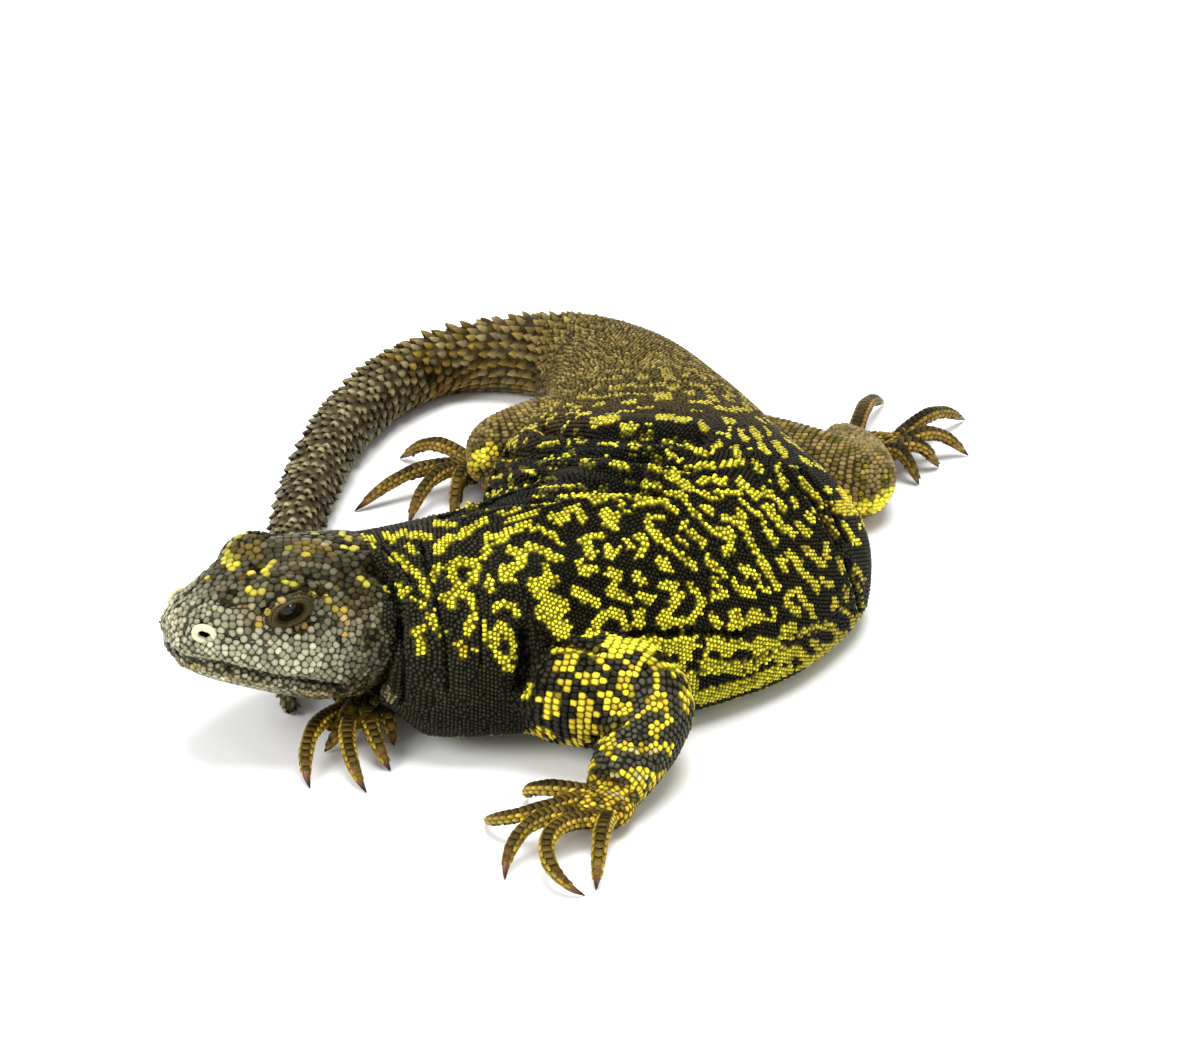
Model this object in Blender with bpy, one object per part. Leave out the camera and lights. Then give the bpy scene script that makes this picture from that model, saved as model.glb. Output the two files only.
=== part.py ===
"""A life-size mountain lizard, resting with its body and tail curled, one solid for each named part.

Sizes and places are in drawing units, and LIFE turns them into metres. The floor is z = 0 and the head looks
towards -X. The neck, trunk and tail are one loft along the spine, parted by thin cuts. Each limb is a chain of
lofts whose root is cut to the surface that it grows from.
"""

import math

import bmesh
import bpy
import numpy as np

LIFE = 0.00108
GAP = 0.29

# The spine from the head's joint to the tail's tip: the place on the floor plan, the height of the flank's widest
# line, the half widths to the left and right, the heights of the back and belly, and how far the section leans back.
SPINE = {
    "nape": (-21.6, -34.4, 11.5, 9.0, 8.6, 17.0, 4.4, 8.0),
    "neck": (-16.0, -33.2, 8.4, 11.4, 9.2, 18.4, 1.0, 4.0),
    "shoulders": (-8.6, -33.4, 7.6, 11.4, 13.0, 19.6, 1.4, 0.0),
    "chest": (-0.6, -29.8, 7.0, 12.2, 14.0, 20.0, -0.3, 0.0),
    "ribs": (4.8, -22.8, 6.2, 16.8, 15.2, 19.6, -0.4, 0.0),
    "belly": (6.0, -15.6, 5.5, 20.0, 17.8, 18.6, -0.4, 0.0),
    "loin": (6.2, -2.0, 5.8, 13.9, 17.0, 15.4, -0.3, 0.0),
    "hips": (4.8, 9.6, 6.6, 9.4, 11.4, 13.2, -0.2, 0.0),
    "vent": (1.5, 19.7, 6.0, 6.8, 7.6, 11.6, -0.2, 0.0),
    "tail_root": (-4.6, 27.2, 4.6, 4.6, 4.6, 9.2, -0.1, 0.0),
    "tail_a": (-14.4, 29.0, 3.4, 3.4, 3.4, 6.9, -0.1, 0.0),
    "tail_b": (-21.8, 23.4, 3.1, 3.15, 3.15, 6.3, -0.1, 0.0),
    "tail_c": (-27.0, 12.6, 2.8, 2.9, 2.9, 5.7, -0.1, 0.0),
    "tail_d": (-29.5, -0.4, 2.6, 2.7, 2.7, 5.2, -0.1, 0.0),
    "tail_e": (-30.5, -13.4, 2.0, 2.1, 2.1, 4.1, -0.1, 0.0),
    "tail_f": (-30.2, -25.2, 1.5, 1.5, 1.5, 3.0, -0.1, 0.0),
    "tail_tip": (-28.7, -35.8, 0.7, 0.75, 0.75, 1.5, 0.0, 0.0),
}
STATIONS = list(SPINE)

# The node between each pair of cuts along the spine.
SPINE_NODES = {
    "neck": ("nape", "shoulders"),
    "chest": ("shoulders", "ribs"),
    "belly": ("ribs", "loin"),
    "hips": ("loin", "tail_root"),
    "tail_1": ("tail_root", "tail_a"),
    "tail_2": ("tail_a", "tail_b"),
    "tail_3": ("tail_b", "tail_c"),
    "tail_4": ("tail_c", "tail_d"),
    "tail_5": ("tail_d", "tail_e"),
    "tail_6": ("tail_e", "tail_tip"),
}

# The tail's whorls: their pitch and the height of their spines at the tail's root and near its tip.
WHORL_PITCH = (2.05, 1.75)
SPINE_HEIGHT = (0.62, 0.34)
WHORL_SCALES = 11

# The head in its own frame: how far each station lies ahead of the nape, its half width at the cheek, and the
# heights of the crown, the mouth line and the chin over the middle of the nape.
HEAD_TURN = 25.0
HEAD_STATIONS = (
    (0.0, 8.6, 5.5, 0.0, -6.7),
    (2.0, 8.9, 6.0, -1.6, -7.0),
    (5.0, 8.9, 6.4, -2.4, -6.8),
    (8.0, 8.3, 6.3, -2.7, -6.4),
    (11.0, 7.2, 5.6, -2.5, -5.9),
    (14.0, 5.8, 4.5, -2.1, -5.3),
    (16.4, 4.8, 2.9, -1.8, -4.6),
    (18.0, 3.7, 1.5, -1.5, -3.8),
    (18.8, 2.4, 0.4, -1.35, -3.0),
    (19.1, 0.9, -0.6, -1.3, -2.0),
)
EYE_PLACE = (10.0, 4.3, 3.4)
EYE_RADIUS = 1.6
LID_TILT = 20.0
NOSTRIL_PLACE = (17.0, 3.2, 0.6)
EAR_PLACE = (2.6, 8.5, 1.0)


# Each limb from its root to its wrist or ankle: the place and the radius at each station, and the station of the
# elbow or knee, where a cut parts the upper length from the lower one.
LIMBS = {
    "arm_left": (
        (-7.0, -37.0, 8.6, 4.6),
        (-3.8, -40.6, 7.4, 5.7),
        (0.4, -42.4, 7.2, 5.4),
        (4.0, -43.6, 6.6, 4.5),
        (3.8, -46.8, 5.3, 3.8),
        (2.4, -50.0, 4.0, 3.2),
        (1.2, -52.4, 3.1, 2.7),
    ),
    "arm_right": (
        (-9.0, -27.0, 8.5, 4.2),
        (-12.0, -22.5, 8.0, 4.2),
        (-15.0, -20.4, 6.8, 3.6),
        (-17.8, -20.6, 5.0, 3.1),
        (-20.4, -23.2, 3.6, 2.7),
        (-22.2, -27.4, 2.7, 2.2),
        (-22.4, -31.6, 2.1, 1.9),
    ),
    "leg_left": (
        (6.0, 8.0, 6.2, 4.4),
        (12.0, 5.6, 5.8, 4.2),
        (18.6, 3.4, 5.2, 4.1),
        (24.9, 1.2, 4.4, 4.1),
        (26.0, 4.4, 4.0, 3.4),
        (25.4, 8.0, 3.6, 2.8),
        (24.4, 11.4, 3.0, 2.2),
    ),
    "leg_right": (
        (3.0, 8.0, 6.6, 4.6),
        (-2.0, 6.4, 7.0, 4.3),
        (-6.2, 4.6, 7.0, 4.1),
        (-9.6, 3.8, 6.2, 3.8),
        (-9.6, 6.0, 4.8, 3.0),
        (-8.2, 8.6, 3.2, 2.3),
        (-5.8, 10.6, 2.6, 1.9),
    ),
}
JOINT_STATION = 3
LIMB_NAMES = {"arm": ("upper_arm", "forearm", "hand"), "leg": ("thigh", "shank", "foot")}

# Each foot: the middle of its palm, its heading, and its half length, half width and half thickness.
PALMS = {
    "arm_left": (0.3, -54.0, 2.0, 215.0, 3.0, 2.7, 1.7),
    "arm_right": (-22.3, -35.4, 1.5, 262.0, 2.9, 2.4, 1.4),
    "leg_left": (27.4, 12.0, 1.9, 14.0, 4.2, 2.4, 1.6),
    "leg_right": (-9.8, 9.0, 1.8, 197.0, 4.4, 2.2, 1.5),
}

# Each toe: the side of the palm that it starts from, its first heading, how far it turns, and its length with the
# claw. The sides and headings are in degrees round the floor plan, and the first toe is the inner one.
TOES = {
    "arm_left": (
        (127.0, 194.0, -133.0, 7.6),
        (146.0, 232.0, -160.0, 11.7),
        (240.0, 194.0, 83.0, 10.5),
        (262.0, 209.0, 174.0, 12.6),
        (283.0, 261.0, 4.0, 7.8),
    ),
    "arm_right": (
        (318.0, 300.0, -10.0, 4.4),
        (294.0, 275.0, 41.0, 8.1),
        (267.0, 260.0, 53.0, 11.3),
        (238.0, 235.0, 61.0, 11.3),
        (247.0, 276.0, -100.0, 5.4),
    ),
    "leg_left": (
        (300.0, 325.0, 0.0, 4.4),
        (323.0, 351.0, 42.0, 4.9),
        (337.0, 29.0, -35.0, 8.0),
        (31.0, 47.0, 0.0, 11.2),
        (122.0, 76.0, -14.0, 12.2),
    ),
    "leg_right": (
        (235.0, 285.0, 10.0, 5.0),
        (209.0, 251.0, 22.0, 7.8),
        (203.0, 222.0, 34.0, 10.1),
        (191.0, 206.0, 2.0, 12.7),
        (175.0, 144.0, 13.0, 8.7),
    ),
}
TOE_ROOT_RADIUS = 1.15
TOE_TIP_RADIUS = 0.74
TOE_SHARE = 0.78
TOE_RISE = 1.1
CLAW_RADIUS = 0.52
CLAW_TIP_RADIUS = 0.1

COLOURS = {
    "scales_dark": ((0.03, 0.03, 0.03), 0.6),
    "scales_flank": ((0.10, 0.10, 0.02), 0.6),
    "scales_tail": ((0.13, 0.12, 0.06), 0.7),
    "scales_limb": ((0.22, 0.20, 0.06), 0.6),
    "horn": ((0.16, 0.09, 0.05), 0.45),
    "eye": ((0.02, 0.015, 0.01), 0.1),
}


def spline(rows, at):
    """Rows at stations of a smooth curve through the given rows, where station 1.5 is half way along span 1."""
    rows = np.asarray(rows, float)
    padded = np.vstack([2 * rows[0] - rows[1], rows, 2 * rows[-1] - rows[-2]])
    at = np.clip(np.atleast_1d(np.asarray(at, float)), 0, len(rows) - 1)
    span = np.minimum(at.astype(int), len(rows) - 2)
    t = (at - span)[:, None]
    before, start, end, after = (padded[span + k] for k in range(4))
    return 0.5 * (
        2 * start
        + (end - before) * t
        + (2 * before - 5 * start + 4 * end - after) * t**2
        + (3 * start - before - 3 * end + after) * t**3
    )


def spine_frame(station):
    """The place, forward, left and up vectors and the five sizes of the section at one station of the spine."""
    rows = np.array(list(SPINE.values()))
    row = spline(rows, station)[0]
    step = spline(rows[:, :2], [station - 0.7, station + 0.7])
    flat = (step[0] - step[1]) / np.linalg.norm(step[0] - step[1])
    lean = math.radians(row[7])
    forward = np.array([flat[0] * math.cos(lean), flat[1] * math.cos(lean), math.sin(lean)])
    left = np.array([-flat[1], flat[0], 0.0])
    up = np.cross(forward, left)
    return np.array([row[0], row[1], row[2]]), forward, left, up, row[2:7]


def oval(angles, sizes, square=0.86, low=0.8):
    """The sideways and upward offsets of a section; low sets how square it is below its widest line."""
    middle, wide_left, wide_right, back, belly = sizes
    side, rise = np.cos(angles), np.sin(angles)
    reach = np.abs(side) ** np.where(rise > 0, square, low)
    across = np.where(side > 0, wide_left, wide_right) * np.sign(side) * reach
    above = (back - middle) * np.abs(rise)
    below = -(middle - belly) * np.abs(rise) ** low
    return across, np.where(rise > 0, above, below)


def spine_section(station, angles, grow=0.0, shift=0.0, floor=0.0):
    """The points of one section, made wider by grow and moved forwards by shift, which may differ by point."""
    place, forward, left, up, sizes = spine_frame(station)
    square = np.interp(station, (7, 9), (0.86, 1.0))
    low = np.interp(station, (0, 1, 3, 4, 6, 7, 9), (0.8, 0.6, 0.6, 0.42, 0.42, 0.6, 1.0))
    across, rise = oval(angles, sizes, square, low)
    thick = np.hypot(across, rise) + 1e-6
    across, rise = across * (1 + grow / thick), rise * (1 + grow / thick)
    shift = np.broadcast_to(shift, angles.shape)
    points = place + np.outer(shift, forward) + np.outer(across, left) + np.outer(rise, up)
    points[:, 2] = np.maximum(points[:, 2], floor)
    return points


def as_object(mesh, name, parts):
    """Turns a closed bmesh into an object whose faces point outwards."""
    bmesh.ops.recalc_face_normals(mesh, faces=mesh.faces)
    if mesh.calc_volume(signed=True) < 0:
        bmesh.ops.reverse_faces(mesh, faces=mesh.faces)
    data = bpy.data.meshes.new(name)
    mesh.to_mesh(data)
    mesh.free()
    made = bpy.data.objects.new(name, data)
    parts.objects.link(made)
    return made


def solid(name, rings, parts):
    """A closed mesh object from rings of points, with a flat cap on the first and last ring."""
    mesh = bmesh.new()
    rows = [[mesh.verts.new(np.asarray(p) * LIFE) for p in ring] for ring in rings]
    count = len(rows[0])
    for a, b in zip(rows, rows[1:]):
        for i in range(count):
            mesh.faces.new((a[i], a[(i + 1) % count], b[(i + 1) % count], b[i]))
    mesh.faces.new(list(reversed(rows[0])))
    mesh.faces.new(rows[-1])
    return as_object(mesh, name, parts)


def largest_only(thing):
    """Keeps only the largest closed surface of an object's mesh."""
    mesh = bmesh.new()
    mesh.from_mesh(thing.data)
    left, shells = set(mesh.verts), []
    while left:
        shell, edge = set(), [left.pop()]
        while edge:
            vert = edge.pop()
            shell.add(vert)
            for link in vert.link_edges:
                other = link.other_vert(vert)
                if other in left:
                    left.remove(other)
                    edge.append(other)
        shells.append(shell)

    def extent(shell):
        low = np.min([v.co[:] for v in shell], axis=0)
        high = np.max([v.co[:] for v in shell], axis=0)
        return float(np.linalg.norm(high - low))

    shells.sort(key=extent)
    for shell in shells[:-1]:
        bmesh.ops.delete(mesh, geom=list(shell), context="VERTS")
    mesh.to_mesh(thing.data)
    mesh.free()


def bake(thing):
    """Applies an object's modifiers to its mesh."""
    graph = bpy.context.evaluated_depsgraph_get()
    data = bpy.data.meshes.new_from_object(thing.evaluated_get(graph))
    thing.modifiers.clear()
    thing.data = data


def combine(thing, other, operation, solver="EXACT"):
    """Joins or cuts an object with another object or a collection of them, and applies the result."""
    cut = thing.modifiers.new(operation.lower(), "BOOLEAN")
    cut.operation = operation
    cut.solver = solver
    if isinstance(other, bpy.types.Collection):
        cut.operand_type = "COLLECTION"
        cut.collection = other
    else:
        cut.object = other
    bake(thing)
    largest_only(thing)


def path_rings(rows, sides, steps, grow=0.0, share=(0.0, 1.0), ends=(0.0, 0.0), blunt=False):
    """Rings around a smooth path of places and radii, between two shares of it, each square to the path.

    ends gives shifts along the path for the first and last ring, and blunt closes the far end with a round cap.
    """
    rows = np.asarray(rows, float)
    at = np.linspace(share[0], share[1], steps + 1) * (len(rows) - 1)
    angles = (np.arange(sides) + 0.5) * 2 * math.pi / sides
    rings = []

    def ring(place, side, up, radius):
        points = place + np.outer(np.cos(angles), side) * radius + np.outer(np.sin(angles), up) * radius
        points[:, 2] = np.maximum(points[:, 2], 0.0)
        rings.append(points)

    for k, station in enumerate(at):
        row = spline(rows, station)[0]
        near = spline(rows[:, :3], [station - 0.3, station + 0.3])
        along = (near[1] - near[0]) / np.linalg.norm(near[1] - near[0])
        side = np.cross(along, (0.0, 0.0, 1.0))
        side = side / np.linalg.norm(side)
        up = np.cross(side, along)
        shift = ends[0] if k == 0 else ends[1] if k == steps else 0.0
        ring(row[:3] + along * shift, side, up, row[3] + grow)
    if blunt:
        place, radius = row[:3], row[3] + grow
        for turn in (25.0, 48.0, 68.0):
            turn = math.radians(turn)
            ring(place + along * radius * math.sin(turn), side, up, radius * math.cos(turn))
    return rings


def spine_stations(first, last, spacing):
    """Evenly spaced stations between two named ones."""
    fine = np.linspace(STATIONS.index(first), STATIONS.index(last), 60)
    track = spline(np.array(list(SPINE.values()))[:, :2], fine)
    lengths = np.concatenate([[0], np.cumsum(np.linalg.norm(np.diff(track, axis=0), axis=1))])
    count = max(2, round(lengths[-1] / spacing))
    return np.interp(np.linspace(0, lengths[-1], count + 1), lengths, fine)


def spine_rings(first, last, angles, spacing, grow=0.0, gaps=(0.0, 0.0)):
    """The plain rings between two named stations, with each end drawn in by its gap."""
    at = spine_stations(first, last, spacing)
    shifts = [-gaps[0]] + [0.0] * (len(at) - 2) + [gaps[1]]
    return [spine_section(s, angles, grow, d, -grow) for s, d in zip(at, shifts)]


def whorl_rings(first, last, gaps):
    """The rings of a spiny length of tail: in each whorl a low ring, then one whose scales rise and point back."""
    index = STATIONS.index(first)
    pitch = WHORL_PITCH[0] + (WHORL_PITCH[1] - WHORL_PITCH[0]) * (index - 9) / 6
    height = SPINE_HEIGHT[0] + (SPINE_HEIGHT[1] - SPINE_HEIGHT[0]) * (index - 9) / 6
    angles = np.arange(2 * WHORL_SCALES) * math.pi / WHORL_SCALES
    at = spine_stations(first, last, pitch)
    step = at[1] - at[0]
    rings = []
    for k, station in enumerate(at[:-1]):
        keels = np.roll((np.arange(len(angles)) % 2 == 0).astype(float), k % 2)
        uneven = 1 + 0.18 * np.sin(np.arange(len(angles)) * 2.4 + 1.7 * k + index)
        rows = spine_frame(station)[4]
        small = min(1.0, rows[1] / 2.0)
        keels = keels * np.clip((np.sin(angles) + 0.6) / 0.35, 0, 1) * uneven * small
        rings.append(spine_section(station, angles, 0.0, -gaps[0] if k == 0 else 0.0))
        rings.append(spine_section(station + 0.72 * step, angles, height * keels, -0.3 * pitch * keels))
    rings.append(spine_section(at[-1], angles, 0.0, gaps[1]))
    if last == STATIONS[-1]:
        rings.append(spine_section(at[-1], angles, -0.3, -0.5))
        rings.append(spine_section(at[-1], angles, -0.7, -0.8))
    return rings


def head_frame():
    """The place, forward, left and up vectors of the head at the nape."""
    place, _, _, _, sizes = spine_frame(0)
    turn, lean = math.radians(HEAD_TURN), math.radians(SPINE["nape"][7])
    flat = np.array([-math.cos(turn), -math.sin(turn), 0.0])
    forward = flat * math.cos(lean) + np.array([0, 0, math.sin(lean)])
    left = np.array([-flat[1], flat[0], 0.0])
    return place, forward, left, np.cross(forward, left)


def head_point(ahead, left_by, up_by):
    """A place given in the head's own frame."""
    place, forward, left, up = head_frame()
    return place + forward * ahead + left * left_by + up * up_by


def head_rings():
    """The rings of the head from the nape to the snout, with brows, a canthus and a groove along the mouth."""
    count = 36
    angles = np.arange(count) * 2 * math.pi / count
    at = np.concatenate([np.linspace(0, 7, 20), [7.35, 7.7, 8.0, 8.4, 8.75, 9.0]])
    rows = spline(HEAD_STATIONS, at)
    nape, nape_forward, nape_left, nape_up, nape_sizes = spine_frame(0)
    _, forward, left, up = head_frame()
    rings = []
    for ahead, wide, crown, mouth, chin in rows:
        turned = min(1.0, ahead / 6.0)
        turned = turned * turned * (3 - 2 * turned)
        aside = nape_left * (1 - turned) + left * turned
        above = nape_up * (1 - turned) + up * turned
        aside, above = aside / np.linalg.norm(aside), above / np.linalg.norm(above)
        line = mouth * turned
        across, rise = oval(angles, (line, wide, wide, crown, chin))
        rise = rise + line
        front = np.clip((ahead - 7.5) / 1.5, 0, 1) * np.clip((19.2 - ahead) / 1.0, 0, 1)
        near_mouth = np.minimum(np.abs(np.sin(angles)), 1.0)
        lips = np.exp(-(((near_mouth - 0.174) / 0.09) ** 2)) * 0.28 * front
        groove = np.exp(-((near_mouth / 0.06) ** 2)) * 0.5 * front
        across = across + np.sign(np.cos(angles)) * (lips - groove) * (np.abs(across) > 1)
        upper = np.clip((rise - line - 3.0) / 2.5, 0, 1)
        brow = np.exp(-(((ahead - 11.0) / 2.0) ** 2) - ((np.abs(across) - 4.3) / 1.5) ** 2) * upper
        dip = np.exp(-(((ahead - 11.0) / 3.0) ** 2) - (across / 2.0) ** 2) * upper
        rise = rise + 1.5 * brow - 0.5 * dip
        across = across + np.sign(across) * 0.5 * brow
        place = nape + forward * ahead
        rings.append(place + np.outer(across, aside) + np.outer(rise, above))
    return rings


def ball(name, place, frame, sizes, parts, around=16, rows=10):
    """A closed ellipsoid whose three half sizes lie along a frame's forward, left and up vectors."""
    mesh = bmesh.new()
    bmesh.ops.create_uvsphere(mesh, u_segments=around, v_segments=rows, radius=1.0)
    axes = np.array(frame)
    for vert in mesh.verts:
        vert.co = (np.asarray(place) + (np.array(vert.co) * np.asarray(sizes)) @ axes) * LIFE
    return as_object(mesh, name, parts)


def toe_points(limb, toe):
    """The path of one toe and its claw, from inside the palm to the claw's tip on the floor."""
    x, y, z, heading, long, wide, _ = PALMS[limb]
    side, first, turn, length = TOES[limb][toe]
    off = math.radians(side - heading)
    turned = math.radians(heading)
    local = np.array([math.cos(off) * long * 0.8, math.sin(off) * wide * 0.8])
    place = np.array(
        [
            x + local[0] * math.cos(turned) - local[1] * math.sin(turned),
            y + local[0] * math.sin(turned) + local[1] * math.cos(turned),
        ]
    )
    steps = 12
    points = []
    for k in range(steps + 1):
        share = k / steps
        height = (z + 0.3 + TOE_RISE * 4 * share * (1 - share)) * (1 - share**3) + 0.12 * share
        points.append((place[0], place[1], height))
        way = math.radians(first + turn * share**1.6)
        place = place + np.array([math.cos(way), math.sin(way)]) * length / steps * (1.1 - 0.2 * share)
    return points


def toe_rows(limb, toe):
    """The path of one toe with its radii, which swell a little at the middle joint."""
    points = toe_points(limb, toe)
    share = np.linspace(0, 1, len(points))
    swell = 0.1 * np.exp(-(((share - 0.42) / 0.1) ** 2))
    return np.column_stack([points, TOE_ROOT_RADIUS + (TOE_TIP_RADIUS - TOE_ROOT_RADIUS) * share / TOE_SHARE + swell])


def claw_rows(limb, toe):
    """The path of one toe with radii that taper from the claw's root to its tip."""
    points = toe_points(limb, toe)
    left = np.clip((1 - np.linspace(0, 1, len(points))) / (1 - TOE_SHARE), 0, 1)
    return np.column_stack([points, CLAW_TIP_RADIUS + (CLAW_RADIUS - CLAW_TIP_RADIUS) * left])


def build_head(parts, cutters):
    """The head with its lids, nostrils and ear cups, and the two eyes."""
    head = solid("head", head_rings(), parts)
    _, forward, left, up = head_frame()
    for side, sign in (("left", 1.0), ("right", -1.0)):
        out = left * sign
        frame = (forward, out, up)
        tilt = math.radians(LID_TILT)
        ahead, above = (math.cos(tilt), -math.sin(tilt)), (math.sin(tilt), math.cos(tilt))
        tilted = (forward * ahead[0] + up * ahead[1], out, forward * above[0] + up * above[1])
        ahead, aside, above = EYE_PLACE
        place = head_point(ahead, aside * sign, above)
        lid = ball("lid_" + side, place + out * 0.1, tilted, (2.9, 2.4, 2.3), cutters, 16, 12)
        combine(head, lid, "UNION")
        socket = ball("socket_" + side, place, frame, (EYE_RADIUS + GAP,) * 3, cutters, 14, 10)
        slit = ball("slit_" + side, place + out * 2.0, tilted, (1.6, 1.5, 0.95), cutters, 12, 8)
        combine(socket, slit, "UNION")
        combine(head, socket, "DIFFERENCE")
        ball("eye_" + side, place, frame, (EYE_RADIUS,) * 3, parts, 14, 10)
        ahead, aside, above = NOSTRIL_PLACE
        place = head_point(ahead, aside * sign, above)
        rim = ball("rim_" + side, place, frame, (0.95, 0.5, 0.85), cutters, 10, 8)
        combine(head, rim, "UNION")
        hole = ball("hole_" + side, place + out * 0.5, frame, (0.42, 0.7, 0.42), cutters, 8, 6)
        combine(head, hole, "DIFFERENCE")
        ahead, aside, above = EAR_PLACE
        cup = ball("cup_" + side, head_point(ahead, aside * sign, above), frame, (0.75, 1.2, 1.6), cutters, 10, 8)
        combine(head, cup, "DIFFERENCE")
    return head


def build_spine(parts, cutters):
    """The neck, the trunk and the tail's lengths, and a slightly grown copy that trims the limbs' roots."""
    angles = np.arange(26) * 2 * math.pi / 26
    for name, (first, last) in SPINE_NODES.items():
        gaps = (GAP / 2, 0.0 if last == STATIONS[-1] else GAP / 2)
        if name.startswith("tail"):
            solid(name, whorl_rings(first, last, gaps), parts)
        else:
            solid(name, spine_rings(first, last, angles, 2.6, 0.0, gaps), parts)
    angles = np.arange(40) * 2 * math.pi / 40
    return solid("grown", spine_rings("nape", "tail_a", angles, 2.0, GAP), cutters)


def build_limbs(parts, cutters, grown):
    """Each limb's upper and lower length, its palm with five toes, and its five claws."""
    for limb, rows in LIMBS.items():
        kind, side = limb.split("_")
        upper, lower, foot = (f"{n}_{side}" for n in LIMB_NAMES[kind])
        above, below = rows[: JOINT_STATION + 1], rows[JOINT_STATION:]
        combine(solid(upper, path_rings(above, 14, 6, blunt=True), parts), grown, "DIFFERENCE")
        low = solid(lower, path_rings(below, 14, 6, ends=(0, -GAP / 2)), parts)
        knee = solid(upper + "_grown", path_rings(above, 14, 6, GAP, blunt=True), cutters)
        combine(low, knee, "DIFFERENCE")
        combine(low, grown, "DIFFERENCE")
        palm = build_foot(limb, foot, below, parts, cutters)
        if kind == "arm":
            combine(palm, grown, "DIFFERENCE")


def build_foot(limb, foot, below, parts, cutters):
    """The palm, cut square where it meets the limb, with its toes and its separate claws."""
    x, y, z, heading, long, wide, thick = PALMS[limb]
    turn = math.radians(heading)
    frame = ((math.cos(turn), math.sin(turn), 0), (-math.sin(turn), math.cos(turn), 0), (0, 0, 1))
    toes = bpy.data.collections.new(foot + "_toes")
    cutters.children.link(toes)
    palm = ball(foot, (x, y, z), frame, (long, wide, thick), parts, 12, 8)
    for vert in palm.data.vertices:
        vert.co.z = max(vert.co.z, 0.0)
    for k in range(5):
        solid(f"{foot}_toe_{k + 1}", path_rings(toe_rows(limb, k), 6, 6, share=(0.0, TOE_SHARE)), toes)
        rings = path_rings(claw_rows(limb, k), 5, 3, share=(TOE_SHARE, 1.0), ends=(GAP, 0.0))
        solid(f"claw_{foot}_{k + 1}", rings, parts)
    combine(palm, toes, "UNION")
    wrist = solid(foot + "_wrist", path_rings(below, 16, 6, GAP, (0.1, 1.0), (0.0, GAP / 2)), cutters)
    combine(palm, wrist, "DIFFERENCE")
    return palm


def paint(parts):
    """Gives each part its own material, after the kind of surface that it has."""
    for thing in parts.objects:
        name = thing.name
        if name.startswith("claw"):
            kind = "horn"
        elif name.startswith("eye"):
            kind = "eye"
        elif name.startswith("tail"):
            kind = "scales_tail"
        elif name in ("chest", "belly", "hips"):
            kind = "scales_flank"
        elif name in ("head", "neck"):
            kind = "scales_dark"
        else:
            kind = "scales_limb"
        colour, rough = COLOURS[kind]
        skin = bpy.data.materials.new(f"{name}_{kind}")
        skin.use_nodes = True
        shader = skin.node_tree.nodes["Principled BSDF"]
        shader.inputs["Base Color"].default_value = (*colour, 1.0)
        shader.inputs["Roughness"].default_value = rough
        shader.inputs["Metallic"].default_value = 0.0
        thing.data.materials.clear()
        thing.data.materials.append(skin)
        thing.data.shade_smooth()
        thing.data.set_sharp_from_angle(angle=math.radians(50))


def stand_on_centre(parts):
    """Moves every part together, so that the middle of their box on the floor plan is at the origin."""
    corners = np.vstack([[v.co[:] for v in thing.data.vertices] for thing in parts.objects])
    middle = (corners.min(axis=0) + corners.max(axis=0)) / 2
    for thing in parts.objects:
        thing.location = (-middle[0], -middle[1], 0.0)


def main():
    """Clears the scene and builds the lizard."""
    for thing in list(bpy.data.objects):
        bpy.data.objects.remove(thing)
    parts = bpy.data.collections.new("mountain_lizard")
    cutters = bpy.data.collections.new("cutters")
    for group in (parts, cutters):
        bpy.context.scene.collection.children.link(group)
    build_head(parts, cutters)
    grown = build_spine(parts, cutters)
    build_limbs(parts, cutters, grown)
    for thing in cutters.all_objects:
        thing.hide_render = True
        thing.display_type = "WIRE"
    paint(parts)
    stand_on_centre(parts)


main()
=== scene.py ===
"""The looks of a life-size mountain lizard at rest, its body and spiny tail curled round.

Shapes are worked out in drawing units on the same plan as the solids, and LIFE turns them into metres. One skin
covers the head, body, limbs and tail, and every scale is a small solid plate that is fitted to its neighbours on it.
"""

import logging
import math
from collections.abc import Callable
from dataclasses import dataclass, field
from enum import Enum

import bpy
import numpy as np
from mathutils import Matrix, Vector
from mathutils.bvhtree import BVHTree
from mathutils.kdtree import KDTree

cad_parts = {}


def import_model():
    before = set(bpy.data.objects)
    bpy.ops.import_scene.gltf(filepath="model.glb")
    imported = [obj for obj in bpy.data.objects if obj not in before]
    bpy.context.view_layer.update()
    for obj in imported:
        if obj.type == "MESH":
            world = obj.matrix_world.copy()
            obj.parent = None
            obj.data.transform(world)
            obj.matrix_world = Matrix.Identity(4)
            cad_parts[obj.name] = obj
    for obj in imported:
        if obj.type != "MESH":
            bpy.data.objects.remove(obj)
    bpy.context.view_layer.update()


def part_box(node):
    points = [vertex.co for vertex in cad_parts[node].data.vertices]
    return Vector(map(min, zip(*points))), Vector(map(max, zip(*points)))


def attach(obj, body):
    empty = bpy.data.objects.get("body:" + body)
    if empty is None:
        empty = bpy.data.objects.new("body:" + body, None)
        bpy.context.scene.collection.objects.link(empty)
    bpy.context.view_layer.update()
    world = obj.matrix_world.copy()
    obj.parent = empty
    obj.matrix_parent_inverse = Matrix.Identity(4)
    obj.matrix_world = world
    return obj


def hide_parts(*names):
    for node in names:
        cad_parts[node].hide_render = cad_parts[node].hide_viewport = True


LOG = logging.getLogger("lizard")
LIFE = 0.00108
UP = np.array([0.0, 0.0, 1.0])
# Limbs that lie beyond this y are the hind legs.
HIND_FROM = -12.0
SIDES = (("left", 1.0), ("right", -1.0))
Rows = tuple[tuple[float, ...], ...]
Table = dict[str, np.ndarray]
Surface = Callable[..., np.ndarray]
Colour = tuple[float, ...]

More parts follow.
